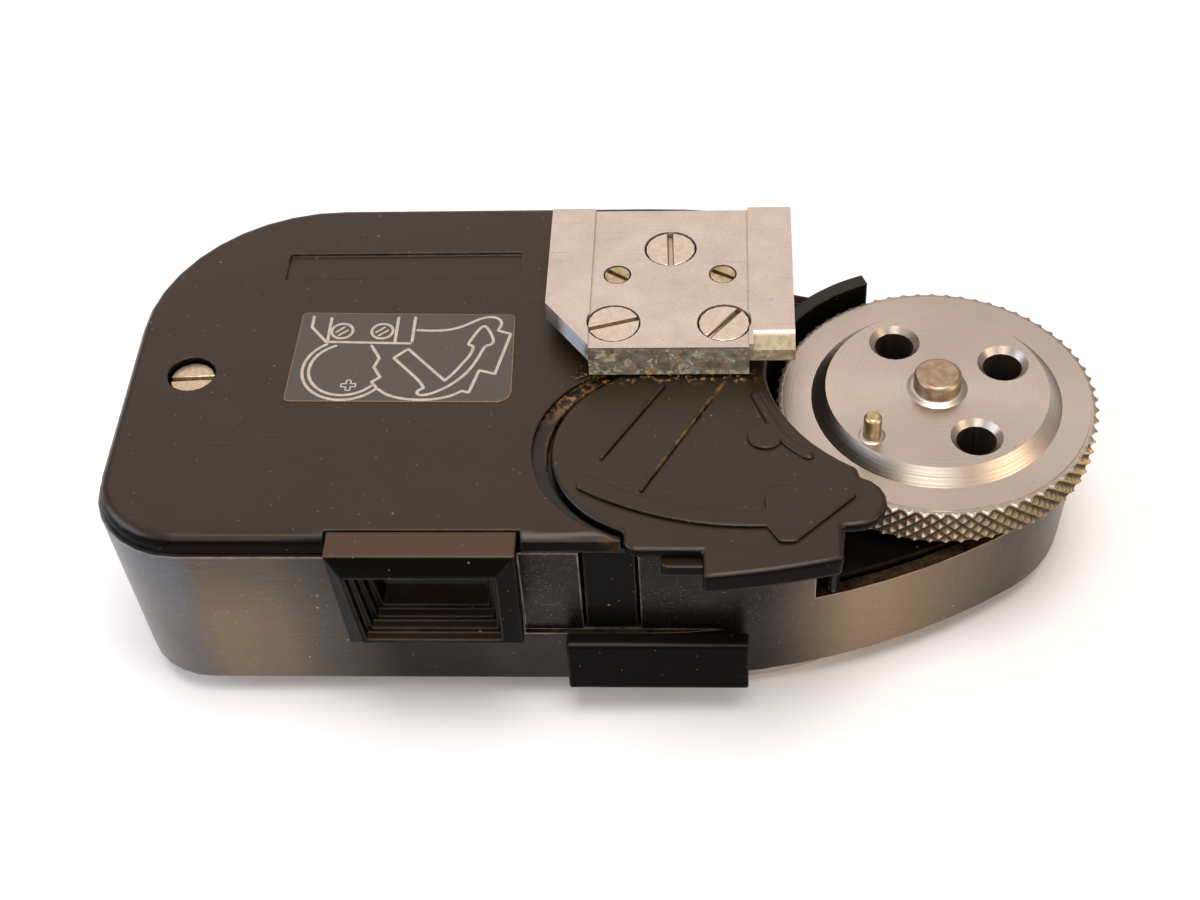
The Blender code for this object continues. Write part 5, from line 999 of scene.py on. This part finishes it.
class Stage(bpy.types.Operator):
    """Lay a pale floor, hang soft lights and set the camera at the photograph's angle"""
    bl_idname = "meter.stage"
    bl_label = "Stage"

    def execute(self, context):
        scene = context.scene
        mesh = bpy.data.meshes.new("floor")
        reach = 1.5
        mesh.from_pydata([(-reach, -reach, 0), (reach, -reach, 0), (reach, reach, 0), (-reach, reach, 0)], [],
                         [(0, 1, 2, 3)])
        floor = bpy.data.objects.new("floor", mesh)
        scene.collection.objects.link(floor)
        mesh.materials.append(start_material("pale_floor", "#f1f5fb", 0.7)[0])
        world = bpy.data.worlds.new("studio")
        scene.world = world
        world.use_nodes = True
        fill(world.node_tree.nodes["Background"], {"Color": linear("#fff0e4"), "Strength": 0.34})
        lamps = (("window_light", (-0.15, 0.55, 0.52), (0.8, 0.7), 1.4, "#ffede2"),
                 ("overhead", (0.05, -0.12, 0.85), (0.5, 0.5), 5.5, "#fff6ef"),
                 ("left_fill", (-0.62, -0.15, 0.27), (0.6, 0.42), 2.8, "#e4ecff"),
                 ("front_card", (-0.04, -0.60, 0.55), (0.4, 0.2), 1.0, "#fff2e4"),
                 ("right_fill", (0.5, -0.25, 0.22), (0.3, 0.3), 1.2, "#ffddb8"))
        aim = Vector((0, 0, 0.01))
        for name, place, size, power, code in lamps:
            lamp = bpy.data.lights.new(name, "AREA")
            lamp.shape = "RECTANGLE"
            lamp.size, lamp.size_y = size
            lamp.energy = power
            lamp.color = linear(code)[:3]
            holder = bpy.data.objects.new(name, lamp)
            holder.location = place
            holder.rotation_euler = (aim - Vector(place)).to_track_quat("-Z", "Y").to_euler()
            scene.collection.objects.link(holder)
        camera = bpy.data.cameras.new("photo_view")
        camera.sensor_fit = "HORIZONTAL"
        focal_pixels, picture_width = 2065.1, 1200
        camera.sensor_width = 36.0
        camera.lens = focal_pixels / picture_width * 36
        camera.clip_start = 0.005
        rise, yaw, roll = (radians(angle) for angle in (45.575, 4.906, -3.673))
        aimed_at, far = Vector((-4.555, -18.634, 0)), 143.687
        back = Vector((sin(yaw) * cos(rise), -cos(yaw) * cos(rise), sin(rise)))
        level = Vector((cos(yaw), sin(yaw), 0))
        up = back.cross(level)
        right = level * cos(roll) + up * sin(roll)
        tilted = up * cos(roll) - level * sin(roll)
        place = HOME + (aimed_at + back * far) * MM
        view = bpy.data.objects.new("photo_view", camera)
        view.matrix_world = Matrix.Translation(place) @ Matrix((right, tilted, back)).transposed().to_4x4()
        scene.collection.objects.link(view)
        scene.camera = view
        scene.view_settings.view_transform = "Standard"
        return {"FINISHED"}


class MeterPanel(bpy.types.Panel):
    """Sizes, colours and the pieces of the meter"""
    bl_idname = "METER_PT_pieces"
    bl_label = "Light meter"
    bl_space_type = "VIEW_3D"
    bl_region_type = "UI"
    bl_category = "Light meter"

    def draw(self, context):
        sizes, colours = ask(context)
        for group in (sizes, colours):
            column = self.layout.column(align=True)
            for key in group.__annotations__:
                column.prop(group, key)
        for operator in OPERATORS:
            self.layout.operator(operator.bl_idname)


OPERATORS = (Stage, MouldedParts, BatteryCover, Housing, Foot, Wheel, Dial, Label, InnerWorks)
CLASSES = (MeterSizes, MeterColours) + OPERATORS + (MeterPanel,)


def register():
    """Register the classes and hang the two property groups on the scene."""
    for new_class in CLASSES:
        bpy.utils.register_class(new_class)
    bpy.types.Scene.meter_sizes = bpy.props.PointerProperty(type=MeterSizes)
    bpy.types.Scene.meter_colours = bpy.props.PointerProperty(type=MeterColours)


def unregister():
    """Take back what register did."""
    del bpy.types.Scene.meter_colours
    del bpy.types.Scene.meter_sizes
    for old_class in reversed(CLASSES):
        bpy.utils.unregister_class(old_class)


def main():
    """Dress the meter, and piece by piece."""
    register()
    for operator in OPERATORS:
        getattr(bpy.ops.meter, operator.bl_idname.split(".")[1])()


if __name__ == "__main__":
    main()
